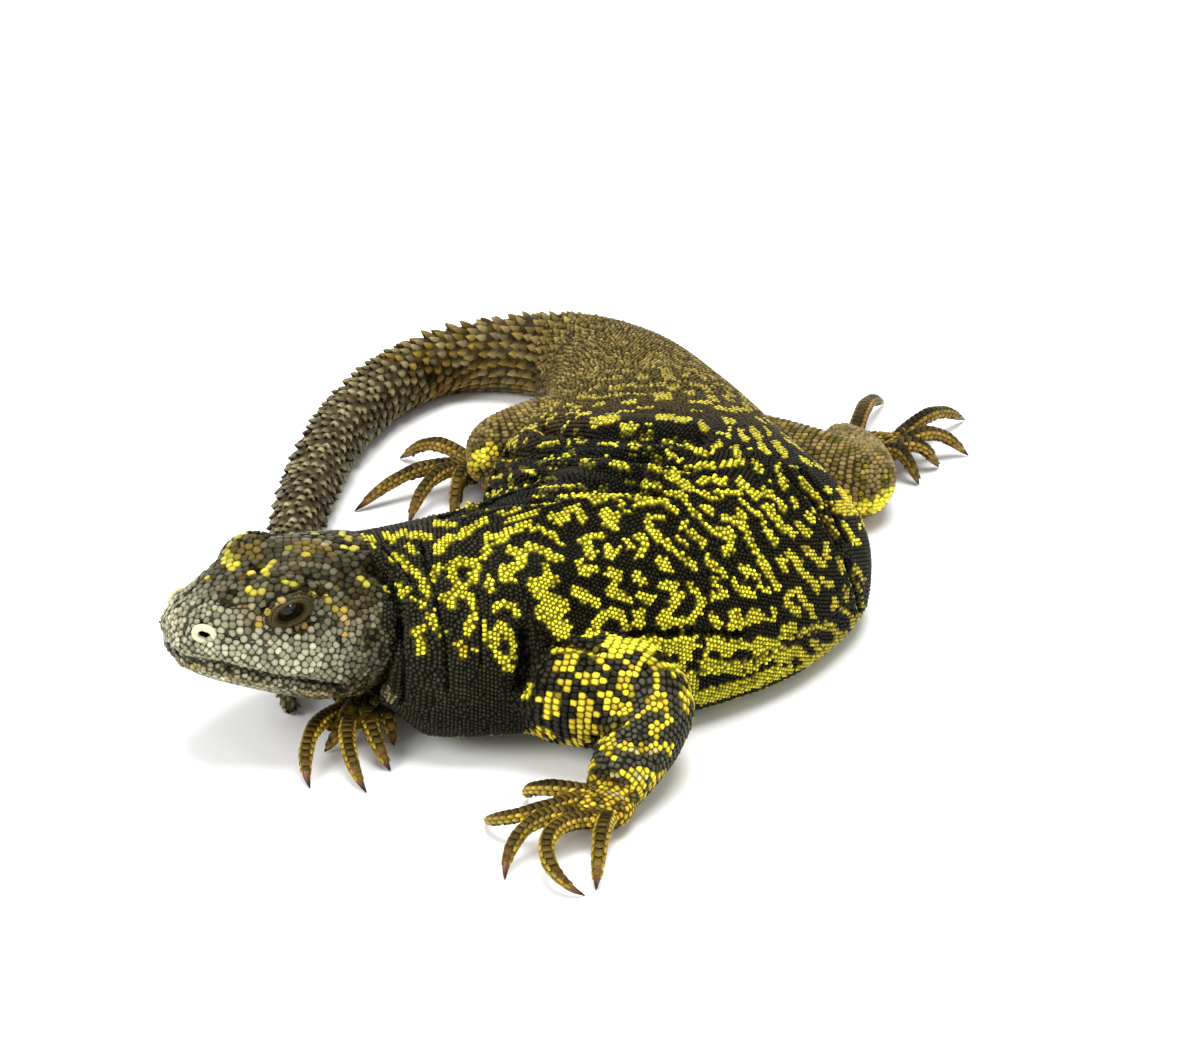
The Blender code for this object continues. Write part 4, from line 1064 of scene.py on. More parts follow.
@dataclass
class Skin:
    """The one skin of the whole animal, with its folds and creases."""

    animal: Animal
    voxel: float = 0.34
    smoothing: int = 6
    coat: float = 0.1
    groove: float = 0.165
    ridge: float = 0.045

    def build(self) -> bpy.types.Object:
        """Makes the skin's mesh from the forms.

        Returns:
            The skin's object, with its points in drawing units times LIFE and no shift yet.
        """
        cloth = Cloth()
        self._trunk(cloth)
        self._limbs(cloth)
        thing = link("skin", cloth.mesh("skin"))
        remesh = thing.modifiers.new("remesh", "REMESH")
        remesh.mode = "VOXEL"
        remesh.voxel_size = self.voxel * LIFE
        smooth = thing.modifiers.new("smooth", "SMOOTH")
        smooth.factor, smooth.iterations = 0.5, self.smoothing
        graph = bpy.context.evaluated_depsgraph_get()
        data = bpy.data.meshes.new_from_object(thing.evaluated_get(graph))
        thing.modifiers.clear()
        thing.data = data
        data.name = "skin"
        self.thing = thing
        self._read()
        return thing

    def _trunk(self, cloth: Cloth) -> None:
        """Adds the spine's loft, the head and the bulges of its lids.

        Args:
            cloth: What they are added to.
        """
        spine, head = self.animal.spine, self.animal.head
        cloth.add_surface(spine.surface, 0.0, 16.0, 300, 80)
        cloth.add_surface(head.surface, 0.0, 9.0, 70, 90)
        for _, sign in SIDES:
            place, fore, out, rise = head.lid_axes(sign)
            turn, lift = np.meshgrid(np.linspace(-1.5, 1.5, 15), circle(24), indexing="ij")
            ball = np.stack([np.cos(turn) * np.cos(lift) * 2.9, np.sin(turn) * 2.4, np.cos(turn) * np.sin(lift) * 2.3])
            rings = place + out * 0.1 + np.einsum("kij,kc->ijc", ball, np.array([fore, out, rise]))
            cloth.add(rings if sign < 0 else rings[:, ::-1])

    def _limbs(self, cloth: Cloth) -> None:
        """Adds the limbs, the palms and the toes.

        Args:
            cloth: What they are added to.
        """
        for name, tube in self.animal.limbs.items():
            foot = self.animal.feet[name]
            cloth.add_surface(tube.surface, 0.0, 1.0, 60, 40)
            turn, rise = np.meshgrid(circle(24), np.linspace(-1.52, 1.52, 15))
            cloth.add(foot.palm(turn.ravel(), rise.ravel()).reshape(15, 24, 3))
            for toe in range(5):
                cloth.add_surface(foot.toe(toe).surface, 0.0, TOE_SHARE + 0.035, 30, 16, grow=0.05)

    def _read(self) -> None:
        """Reads the mesh's points and normals, in drawing units."""
        data = self.thing.data
        flat = np.empty(len(data.vertices) * 3)
        data.vertices.foreach_get("co", flat)
        self.points = flat.reshape(-1, 3) / LIFE
        data.vertices.foreach_get("normal", flat)
        self.normals = flat.reshape(-1, 3).copy()

    def _write(self) -> None:
        """Writes the points back and reads the new normals."""
        data = self.thing.data
        data.vertices.foreach_set("co", (self.points * LIFE).ravel())
        data.update()
        self._read()

    def tree(self) -> BVHTree:
        """A search tree of the skin, in drawing units."""
        faces = [tuple(p.vertices) for p in self.thing.data.polygons]
        return BVHTree.FromPolygons(self.points.tolist(), faces)

    def shape(self, lens: Viewpoint) -> None:
        """Sinks the skin by the coat's depth and cuts in its hollows and creases.

        Args:
            lens: The photograph's camera, over which the creases are drawn.
        """
        sight = Sight(lens, self.tree())
        seen = sight.visible(self.points, self.normals)
        places = sight.project(self.points)
        depth = np.full(len(self.points), self.coat)
        head = self.animal.head
        near_head = np.linalg.norm(self.points - head.point(9.0, 0.0, 0.0), axis=1) < 13.0
        mirrored, hidden = head.mirror(self.points), near_head & (head.local(self.points)[:, 1] < 0)
        face = np.where(hidden[:, None], sight.project(mirrored), places)
        # Each crease is a groove with a low ridge on both sides.
        for crease in CREASES + FACE_CREASES:
            of_face = crease in FACE_CREASES
            away = sight.reach(face if of_face else places, crease, 16.0)
            away = np.where(near_head & (seen | hidden) if of_face else seen, away, np.inf)
            wide = crease.width * 0.85
            depth += self.groove * crease.width * bell(away, wide)
            depth -= self.ridge * crease.width * bell(away - 2.2 * wide, wide)
        # The hollows of the eyes, the nostrils and the ears.
        for _, sign in SIDES:
            place, fore, out, rise = head.lid_axes(sign)
            off = self.points - place
            flat = np.hypot(off @ fore / 2.2, off @ rise / 1.45)
            hollow = np.clip(off @ out - 0.6, 0, 2.5) * fade(flat, 1.0, -0.2)
            depth += np.where(off @ out > 0, hollow, 0)
            for spot, wide, deep in ((NOSTRIL_PLACE, 0.66, 1.2), (EAR_PLACE, 1.15, 1.1)):
                off = self.points - head.point(spot[0], spot[1] * sign, spot[2])
                depth += deep * np.exp(-((np.linalg.norm(off, axis=1) / wide) ** 4))
        self.points = self.points - self.normals * depth[:, None]
        self.points[:, 2] = np.maximum(self.points[:, 2], 0.03)
        self._write()


@dataclass(frozen=True)
class Pitch:
    """The distance between neighbouring scales, region by region."""

    trunk_stations: tuple[float, ...] = (0.0, 1.5, 3.0, 7.0, 9.0)
    trunk_sizes: tuple[float, ...] = (0.4, 0.41, 0.42, 0.45, 0.52)
    arm_shares: tuple[float, ...] = (0.0, 0.3, 0.6, 1.0)
    arm_sizes: tuple[float, ...] = (0.45, 0.64, 0.62, 0.53)
    leg_sizes: tuple[float, ...] = (0.52, 0.5)
    belly: float = 0.62
    tail: float = 0.6
    hind_limb: float = 0.51
    toe: float = 0.5

    def trunk(self, station: np.ndarray) -> np.ndarray:
        """The distance over the neck and the trunk."""
        return np.interp(station, self.trunk_stations, self.trunk_sizes)

    def arm(self, share: np.ndarray) -> np.ndarray:
        """The distance along an arm."""
        return np.interp(share, self.arm_shares, self.arm_sizes)

    def leg(self, share: np.ndarray) -> np.ndarray:
        """The distance along a leg."""
        return np.interp(share, (0, 1), self.leg_sizes)

    def fill(self, region: np.ndarray, station: np.ndarray, local: np.ndarray, spots: np.ndarray) -> np.ndarray:
        """The distance where no rows were laid.

        Args:
            region: The kind of bed at each place.
            station: The station at each place.
            local: The place in the head's frame.
            spots: The place itself.

        Returns:
            The distances.
        """
        trunk = np.where(spots[:, 2] < 1.2, self.belly, self.trunk(station))
        crown = np.interp(local[:, 2], (-6, -3, 0, 4, 6), (0.48, 0.56, 0.66, 0.78, 0.95))
        snout = np.interp(local[:, 0], (0, 4, 9, 15, 19), (0.62, 0.76, 0.82, 0.78, 0.68))
        limb = np.where(spots[:, 1] > HIND_FROM, self.hind_limb, self.arm(station))
        even = np.ones(len(trunk))
        return np.choose(region, [trunk, self.tail * even, crown * snout, limb, self.toe * even])


@dataclass
class ScaleBed:
    """The places of all the scales while they are being laid out on the skin."""

    skin: Skin
    chart: Chart
    pitch: Pitch = Pitch()
    loose: float = 0.06
    step: float = 0.86

    def __post_init__(self) -> None:
        """Makes the search tree and the empty lists."""
        self.tree = self.skin.tree()
        self.columns: dict[str, list[np.ndarray]] = {}
        self.random = np.random.default_rng(7)

    def settle(self, points: np.ndarray, most: float) -> tuple[np.ndarray, ...]:
        """Drops places on to the skin.

        Args:
            points: Places near the skin.
            most: How far away the skin may be.

        Returns:
            The places on the skin, its smooth normals there, and which of the places were kept.
        """
        found, normals, kept = [], [], []
        polygons, data = self.skin.thing.data.polygons, self.skin.normals
        for k, point in enumerate(points.tolist()):
            spot, _, index, away = self.tree.find_nearest(point)
            if away <= most:
                found.append(spot)
                normals.append(data[list(polygons[index].vertices)].mean(axis=0))
                kept.append(k)
        return np.array(found), unit(np.array(normals)), np.array(kept, int)

    def keep(self, **columns: np.ndarray) -> None:
        """Adds rows to the lists."""
        for name, rows in columns.items():
            self.columns.setdefault(name, []).append(rows)

    def lay(self, points: np.ndarray, pitch: np.ndarray, share: float, most: float = 0.9) -> None:
        """Lays scales at the given places, and leaves out those that would crowd others.

        Args:
            points: Places near the skin.
            pitch: The distance between scales at each place.
            share: The least distance to another scale, as a share of the pitch.
            most: How far from the skin a place may lie.
        """
        spots, normals, kept = self.settle(points, most)
        pitch = np.broadcast_to(pitch, len(points))[kept]
        fits = (spots[:, 2] > 0.16) | (normals[:, 2] > -0.3)
        if "point" in self.columns:
            older, sizes = np.vstack(self.columns["point"]), np.concatenate(self.columns["pitch"])
            tree = search_tree(older)
            for k, point in enumerate(spots.tolist()):
                if fits[k]:
                    _, index, away = tree.find(point)
                    fits[k] = away > share * (pitch[k] + sizes[index]) / 2
        spots, normals, pitch = spots[fits], normals[fits], pitch[fits]
        tree = search_tree(spots)
        alive = np.ones(len(spots), bool)
        for k, point in enumerate(spots.tolist()):
            if alive[k]:
                for _, index, _ in tree.find_range(point, share * pitch[k]):
                    if index > k:
                        alive[index] = False
        near = self.chart.nearest(spots[alive])
        self.keep(point=spots[alive], normal=normals[alive], pitch=pitch[alive], near=near)

    def lattice(
        self, surface: Surface, stations: np.ndarray, lengths: np.ndarray, pitch: Callable[[float], float],
        arc: tuple[float, float], most: float = 0.9
    ) -> None:
        """Lays staggered rows of scales over a form.

        Args:
            surface: The form's surface function.
            stations: Fine stations along it.
            lengths: The distance along it at each of those stations.
            pitch: A function that gives the pitch at a station.
            arc: The first and last angle of the rows.
            most: How far from the skin a place may lie.
        """
        at, row, points, sizes = 0.0, 0, [], []
        turn = np.linspace(arc[0], arc[1], 160)
        while at < lengths[-1]:
            station = float(np.interp(at, lengths, stations))
            size = float(pitch(station))
            ring = surface(np.full(160, station), turn)
            run = np.concatenate([[0], np.cumsum(np.linalg.norm(np.diff(ring, axis=0), axis=1))])
            middle = run[-1] / 2
            many = int(middle / size) + 1
            want = middle + (np.arange(-many, many + 1) + 0.5 * (row % 2)) * size
            want = want[(want > 0) & (want < run[-1])]
            angles = np.interp(want + self.random.normal(0, self.loose * size, len(want)), run, turn)
            shaken = np.interp(at + self.random.normal(0, self.loose * size, len(want)), lengths, stations)
            points.append(surface(shaken, angles))
            sizes.append(np.full(len(angles), size))
            at += size * self.step
            row += 1
        self.lay(np.vstack(points), np.concatenate(sizes), 0.8, most)

    def cover(self) -> Table:
        """Lays all the scales: trunk, limbs, head and then whatever is still bare.

        Returns:
            The rows of the scales.
        """
        animal = self.chart.animal
        spine, head = animal.spine, animal.head
        stations = np.linspace(0.0, 8.9, 400)
        tracks = [spine.surface(stations, np.full(400, math.radians(a))) for a in (0, 30, 65)]
        steps = np.max([np.linalg.norm(np.diff(track, axis=0), axis=1) for track in tracks], axis=0)
        lengths = np.concatenate([[0], np.cumsum(steps)])
        arc = (math.radians(-60), math.radians(240))
        self.lattice(spine.surface, stations, lengths, self.pitch.trunk, arc, most=1.0)
        for name, tube in animal.limbs.items():
            shares = np.linspace(0, 1, 100)
            pitch = self.pitch.arm if "arm" in name else self.pitch.leg
            self.lattice(tube.surface, shares, shares * tube.length(), pitch, (-math.pi / 2, 1.5 * math.pi))
        spots = self.skin.points[self.random.permutation(len(self.skin.points))]
        near = self.chart.nearest(spots)
        region, station = self.chart.region[near], self.chart.station[near]
        sizes = self.pitch.fill(region, station, head.local(spots), spots)
        banded = (region == Region.TOE.value) & (station > 0.1) & (np.sin(self.chart.angle[near]) > -0.3)
        bare = (region != Region.TAIL.value) & ~banded
        for _, sign in SIDES:
            place, fore, out, rise = head.lid_axes(sign)
            off = spots - place
            bare &= (np.hypot(off @ fore / 2.05, off @ rise / 1.35) > 1) | (off @ out < 0)
            bare &= np.linalg.norm(spots - head.nostril(sign), axis=1) > 0.8
        self.lay(spots[bare], sizes[bare], 0.86)
        return {name: np.concatenate(rows) for name, rows in self.columns.items()}


@dataclass
class Markings:
    """The pigments of every scale, drawn where the photograph shows them and grown where it doesn't, with painted shade
    in the creases and low on the flank.
    """

    chart: Chart
    sight: Sight
    # How far a mark spreads past its stroke, how ragged its edge is, and how broad its darker rim.
    swell: float = 0.95
    black_swell: float = 0.2
    spread: tuple[float, ...] = (1.0, 1.0, 0.2, 1.2, 1.0)
    ragged: float = 0.8
    rim: float = 2.4
    # How bright scales are on average, and how much they differ.
    bright: tuple[float, float] = (0.55, 0.12)

    def paint(self, points: np.ndarray, normals: np.ndarray, near: np.ndarray) -> np.ndarray:
        """The pigments of scales.

        Args:
            points: Where the scales sit.
            normals: The skin's normals there.
            near: Their nearest samples of the chart.

        Returns:
            Four values for each scale: yellow, warm, pale and a tone of its own, which also carries painted shade in
                the creases and low on the flank.
        """
        random = np.random.default_rng(11)
        region, station = self.chart.region[near], self.chart.station[near]
        # The ground, and the marks that the seeded pattern grows on it.
        ground = self._ground(points, region, station)
        marks = ground.copy()
        grown = self._grown(points, region, station, self.chart.angle[near])
        trunk, of_head = region == Region.TRUNK.value, region == Region.HEAD.value
        aged = (fade(station, 5.0, 1.8) * trunk)[grown]
        late = (fade(station, 6.3, 1.5) * trunk)[grown]
        marks[grown] = np.column_stack([0.95 - 0.5 * aged - 0.15 * late, 0.6 * aged + 0.1 * late, 0.15 * aged])
        # What the photograph shows gets its strokes instead, and the head's hidden side mirrors the visible one.
        head = self.chart.animal.head
        seen = self.sight.visible(points, normals)
        places = self.sight.project(points)
        face = of_head & ~seen & (head.local(points)[:, 1] < 0)
        places[face] = self.sight.project(head.mirror(points[face]))
        shown = seen | face
        drawn = LEMON_MARKS + GOLD_MARKS + HEAD_MARKS
        nearest = np.full(len(points), np.inf)
        for stroke in drawn:
            nearest = np.minimum(nearest, self.sight.reach(places, stroke, 14.0) - stroke.width / 2)
        free = trunk & (station > 4.2) & (places[:, 1] < 545) & (nearest > 7.0)
        plain = shown & ~free
        marks[plain] = ground[plain]
        uneven = random.uniform(-self.ragged, self.ragged, len(points))
        within = np.zeros(len(points))
        low = trunk * fade(points[:, 2], 8.0, -3.0)
        old = trunk * np.maximum(fade(station, 4.8, 1.8), 0.5 * fade(places[:, 0], 770.0, 80.0))
        spread = np.choose(region, self.spread)
        for stroke in FACE_ZONES + drawn + BLACK_SPOTS:
            away = self.sight.reach(places, stroke, 14.0) + uneven
            swell = self.black_swell if stroke.tint is Tint.BLACK else self.swell
            left = stroke.width / 2 + swell * spread - 0.3 * low - away
            inside = shown & (left > 0)
            within[inside] = np.maximum(within[inside], left[inside])
            if stroke.tint is Tint.LEMON:
                aged = old[inside]
                marks[inside] = np.column_stack([1 - 0.45 * aged, 0.6 * aged, 0.12 * aged])
            else:
                marks[inside] = stroke.tint.value
        faced = of_head & (marks[:, 0] > 0.5)
        marks[faced] += [-0.12, 0.05, 0.14]
        # The tone differs from scale to scale and is darker at a mark's rim; painted shade darkens it low on the flank
        # and in the creases.
        tone = random.normal(*self.bright, len(points)) - 0.06 * faced
        tone += 0.08 * ((region == Region.LIMB.value) & (marks[:, 0] > 0.5))
        # The rear of the trunk is darker; low on the flank, towards the floor, the tone is darkened as painted shade.
        tone -= 0.12 * trunk * fade(station, 5.8, 1.5) + 0.13 * low
        tone -= 0.1 * ((region == Region.TAIL.value) & (ground[:, 2] == 0.0))
        rim = fade(within, self.rim, -self.rim) * (within > 0) * (marks[:, 0] > 0.5)
        tone -= 0.16 * rim
        marks[:, 1] += 0.25 * rim
        # Painted shade in the creases: the scales there lose most of their yellow, where the marks break off in the
        # folds, and their tone drops.
        for crease in CREASES + FACE_CREASES:
            deep = shown & (self.sight.reach(places, crease, 10.0) < crease.width * 0.55)
            marks[deep, 0] *= 0.35
            tone[deep] -= 0.3
        return np.column_stack([np.clip(marks, 0, 1), np.clip(tone, 0, 1)])

    def _ground(self, points: np.ndarray, region: np.ndarray, station: np.ndarray) -> np.ndarray:
        """The ground pigments, before any marking.

        Args:
            points: The places.
            region: The kind of bed at each place.
            station: The station at each place.

        Returns:
            Yellow, warm and pale for each place.
        """
        ground = np.zeros((len(points), 3))
        random = np.random.default_rng(17)
        trunk, tail = region == Region.TRUNK.value, region == Region.TAIL.value
        head, limb, foot = (region == r.value for r in (Region.HEAD, Region.LIMB, Region.TOE))
        blots, mottle = (
            Labyrinth(*seed).value(points[:, 0], points[:, 1] + 0.7 * points[:, 2]) for seed in ((21, 1.9), (27, 2.4))
        )
        ground[trunk, 1] = np.interp(station[trunk], (5.3, 6.2, 7.3), (0.0, 0.5, 0.88))
        ground[trunk, 0] = np.interp(station[trunk], (6.0, 7.6), (0.0, 0.12))
        ground[trunk, 2] = np.interp(station[trunk], (0.4, 1.6, 2.4, 6.5, 8), (0.05, 0.03, 0.0, 0.0, 0.08))
        ground[tail, 1] = np.interp(station[tail], (9, 10.5), (0.9, 0.88))
        ground[tail, 0] = np.interp(station[tail], (9, 10), (0.08, 0.0))
        ground[tail, 2] = np.interp(station[tail], (9, 10.5, 12), (0.08, 0.12, 0.3))
        dark = (trunk | tail) & (mottle > 0.55) & (station > 6.2)
        ground[dark] *= [1.0, 0.62, 0.5]
        brown = tail & (mottle > 0.1) & (station < 11.0)
        ground[brown] = [0.12, 1.0, 0.0]
        local = self.chart.animal.head.local(points)
        lower = fade(local[:, 2], 3.4, -3.0) * fade(local[:, 0], 4.0, 6.0)
        lower *= np.interp(local[:, 2], (-6.0, -3.5), (0.35, 1.0))
        # Under the jaw the face loses its paleness and darkens: painted shade under the head.
        jaw = fade(local[:, 2], -2.0, -1.4) * fade(local[:, 0], 13.0, -5.0)
        lower *= 1 - 0.75 * jaw
        pale = 0.5 * lower + 0.25 - 0.18 * jaw - 0.15 * fade(local[:, 2], 2.4, 2.0) - 0.1 * fade(local[:, 0], 7.0, -4.0)
        ground[head, 2] = np.clip(pale[head] + random.normal(0, 0.06, head.sum()), 0, 1)
        ground[head, 1] = np.clip(0.16 + random.normal(0, 0.09, head.sum()), 0, 1)
        ground[limb, 2] = np.interp(station[limb], (0.4, 0.6), (0.02, 0.1))
        rear = limb & (points[:, 1] > HIND_FROM)
        ground[rear, 1] = np.where(mottle > 0.75, 0.4, 0.9)[rear]
        ground[rear, 2] = np.where(mottle > 0.75, 0.0, 0.1)[rear]
        ground[rear, 0] = np.where(blots < -0.9, 0.3, 0.08)[rear]
        hand = points[:, 1] < HIND_FROM
        ground[foot, 1] = np.where(blots > 0.4, 0.6, np.where(hand, 0.75, 0.95))[foot]
        ground[foot, 0] = np.where(blots > 0.4, 0.05, np.where(hand, 0.8, 0.3))[foot]
        under = (points[:, 2] < 1.3) & (trunk | limb)
        ground[under, 0] += 0.6
        return ground

    def _grown(self, points: np.ndarray, region: np.ndarray, station: np.ndarray, angle: np.ndarray) -> np.ndarray:
        """Where the seeded pattern puts a marking.

        Args:
            points: The places.
            region: The kind of bed at each place.
            station: The station at each place.
            angle: Its angle round the section.

        Returns:
            One flag for each place.
        """
        trunk = (region == Region.TRUNK.value) & (station > 1.2) & (station < 8.7)
        across = np.interp(angle, (0, math.pi, 2 * math.pi), (0, 38, 76))
        fine, wide = (Labyrinth(3, w).value(station * 8.5, across) for w in (1.7, 2.6))
        height = np.where(station > 5.6, fine, wide)
        arm = (region == Region.LIMB.value) & (points[:, 1] < HIND_FROM)
        arm &= Labyrinth(5, 2.6).value(points[:, 0], points[:, 1]) > 0.75
        least = np.interp(station, (4.5, 5.0, 5.8, 6.3, 7.6, 8.7), (0.3, 0.6, 0.6, 0.35, 0.4, 1.1))
        return (trunk & (height > least)) | arm


@dataclass
class ScaleCloth:
    """Meshes of many scales, each a small plate whose open foot sinks into the skin."""

    animal: Animal

    def outlines(self, rows: Table) -> np.ndarray:
        """How far each scale reaches in eight directions before it meets its neighbours.

        Args:
            rows: Place, rear, side and pitch of each scale.

        Returns:
            Eight lengths for each scale.
        """
        points, size = rows["point"], rows["pitch"] / 2
        tree, many = search_tree(points), 12
        index = np.zeros((len(points), many), int)
        for k, point in enumerate(points.tolist()):
            found = [i for _, i, _ in tree.find_n(point, many + 1) if i != k][:many]
            index[k] = found + [found[0]] * (many - len(found))
        off = points[index] - points[:, None]
        first, second = (np.einsum("nmk,nk->nm", off, rows[way]) for way in ("rear", "side"))
        flat = first**2 + second**2
        reach = np.full((len(points), 8), np.inf)
        for k, t in enumerate(circle(8)):
            towards = first * math.cos(t) + second * math.sin(t)
            bound = (flat + size[:, None] ** 2 - size[index] ** 2) / (2 * np.maximum(towards, 1e-6))
            bound = np.where(towards > 0.05 * np.sqrt(flat + 1e-9), bound, np.inf)
            reach[:, k] = bound.min(axis=1)
        loose = rows["flat"][:, None]
        return np.clip((0.96 + 0.06 * loose) * reach, 0.45 * size[:, None], (1.25 + 0.15 * loose) * size[:, None])

    def domes(self, name: str, rows: Table) -> bpy.types.Object:
        """One mesh of granular scales.

        Args:
            name: The piece's name.
            rows: Place, normal, rear, side, reach, height, lift, uv and pigments of each scale.

        Returns:
            The piece.
        """
        turn = circle(8)
        many, flat = len(rows["point"]), rows["flat"][:, None]
        # From the sunken foot over the shoulder to the brow: share of the outline and share of the height.
        rings = ((1.0, -0.5), (0.86 + 0.06 * flat, 0.4 + 0.35 * flat), (0.52 + 0.1 * flat, 0.88 + 0.08 * flat))
        reach, height, lift = rows["reach"], rows["height"], rows["lift"]
        local = []
        for k, (share, rise) in enumerate(rings):
            x, y = reach * share * np.cos(turn), reach * share * np.sin(turn)
            tilt = lift[:, None] * np.clip(x / rows["size"][:, None] + 0.2, 0, 2) * (k > 0)
            z = height[:, None] * rise + tilt
            local.append(np.stack([x, y, z], axis=-1))
        top = np.zeros((many, 1, 3))
        top[:, 0, 2] = height + lift * 0.25
        local = np.concatenate(local + [top], axis=1)
        around = np.arange(8)
        after = (around + 1) % 8
        band = np.stack([around, after, 8 + after, 8 + around], 1)
        fans = np.stack([16 + around, 16 + after, np.full(8, 24)], 1)
        # How light each ring of a scale is: painted shade down at its sunken foot and a painted highlight at its top.
        shade = np.repeat([0.05, 0.55, 1.0, 1.2], [8, 8, 8, 1])
        return self.joined(name, rows, local, np.vstack([band, band + 8]), fans, shade)

    def keeled(self, name: str, rows: Table) -> bpy.types.Object:
        """One mesh of pointed scales with a keel, whose tips stand up.

        Args:
            name: The piece's name.
            rows: Place, normal, rear, side, length, width, height, uv and pigments of each scale.

        Returns:
            The piece.
        """
        # The outline by length and width, its rise to the tip, and the keel that runs along it.
        half = [(-0.46, 0.3), (-0.25, 0.46), (0.08, 0.47), (0.34, 0.28), (0.54, 0.0)]
        plan = np.array(half + [(x, -y) for x, y in half[-2::-1]])
        rise = np.array([0.0, 0.0, 0.06, 0.2, 1.0, 0.2, 0.06, 0.0, 0.0])
        keel = np.array([(-0.46, 0.0, 0.16), (-0.2, 0.0, 0.52), (0.1, 0.0, 0.86), (0.36, 0.0, 1.04)])
        size = np.stack([rows["length"], rows["width"], rows["height"]], axis=1)[:, None]
        edge = np.column_stack([plan, rise]) * size
        edge[:, :, 2] -= 0.32 * size[:, :, 1] * plan[:, 1] ** 2
        under = edge.copy()
        under[:, :, :2] *= 0.9
        under[:, :, 2] -= 0.28 * size[:, :, 2] + 0.1
        local = np.concatenate([under, edge, keel * size], axis=1)
        around = np.arange(9)
        after = (around + 1) % 9
        walls = np.stack([9 + around, 9 + after, after, around], 1)
        tops = [(9, 10, 19, 18), (10, 11, 20, 19), (11, 12, 21, 20)]
        tops += [(19, 16, 17, 18), (20, 15, 16, 19), (21, 14, 15, 20)]
        fans = np.array([(12, 13, 21), (13, 14, 21)])
        # How light each corner is: painted shade on the sunken underside and the edges, and a painted highlight on the
        # tip and along the keel.
        shade = np.array([0.25] * 9 + [0.45, 0.55, 0.65, 0.85, 1.5, 0.85, 0.65, 0.55, 0.45] + [0.6, 0.95, 1.25, 1.6])
        return self.joined(name, rows, local, np.vstack([walls, tops]), fans, shade)

    def joined(
        self, name: str, rows: Table, local: np.ndarray, quads: np.ndarray, fans: np.ndarray, shade: np.ndarray
    ) -> bpy.types.Object:
        """One mesh of many copies of a pattern of faces.

        Args:
            name: The piece's name.
            rows: Place, normal, rear, side, soft, uv and pigments of each scale.
            local: The corners of each scale in its own frame.
            quads: The four-sided faces of one scale.
            fans: The three-sided faces of one scale.
            shade: How light each corner of a scale is: painted shade and highlights over its relief.

        Returns:
            The piece, with its unwrap and its markings.
        """
        many, corners = local.shape[:2]
        frame = np.stack([rows["rear"], rows["side"], rows["normal"]], axis=1)
        points = rows["point"][:, None] + np.einsum("nck,nkj->ncj", local, frame)
        points[:, :, 2] = np.maximum(points[:, :, 2], 0.01)
        start = (np.arange(many) * corners)[:, None, None]
        four, three = (quads + start).reshape(-1), (fans + start).reshape(-1)
        loops = np.concatenate([four, three]).astype(np.int32)
        sizes = np.concatenate([np.full(len(four) // 4, 4), np.full(len(three) // 3, 3)])
        data = bpy.data.meshes.new(name)
        data.vertices.add(many * corners)
        data.vertices.foreach_set("co", self.animal.metres(points.reshape(-1, 3)).ravel())
        data.loops.add(len(loops))
        data.loops.foreach_set("vertex_index", loops)
        data.polygons.add(len(sizes))
        data.polygons.foreach_set("loop_start", np.concatenate([[0], np.cumsum(sizes)[:-1]]).astype(np.int32))
        data.update(calc_edges=True)
        spread = local[:, :, :2] / (np.abs(local[:, :, :2]).max(axis=(1, 2), keepdims=True) + 1e-9) * 0.0015
        uv = (np.clip(rows["uv"], 0.003, 0.997)[:, None] + spread).reshape(-1, 2)
        put_unwrap(data, uv)
        colour = np.repeat(rows["pigment"], corners, axis=0).astype(np.float32)
        # The painted shade and highlights go into the tone; soft scales keep less of the painted shade.
        colour[:, 3] *= (shade + (1 - shade) * rows["soft"][:, None] * (shade < 1)).ravel()
        put_markings_and_shade(data, colour)
        data.shade_smooth()
        data.validate()
        return link(name, data)


Value = float | Colour | bpy.types.NodeSocket


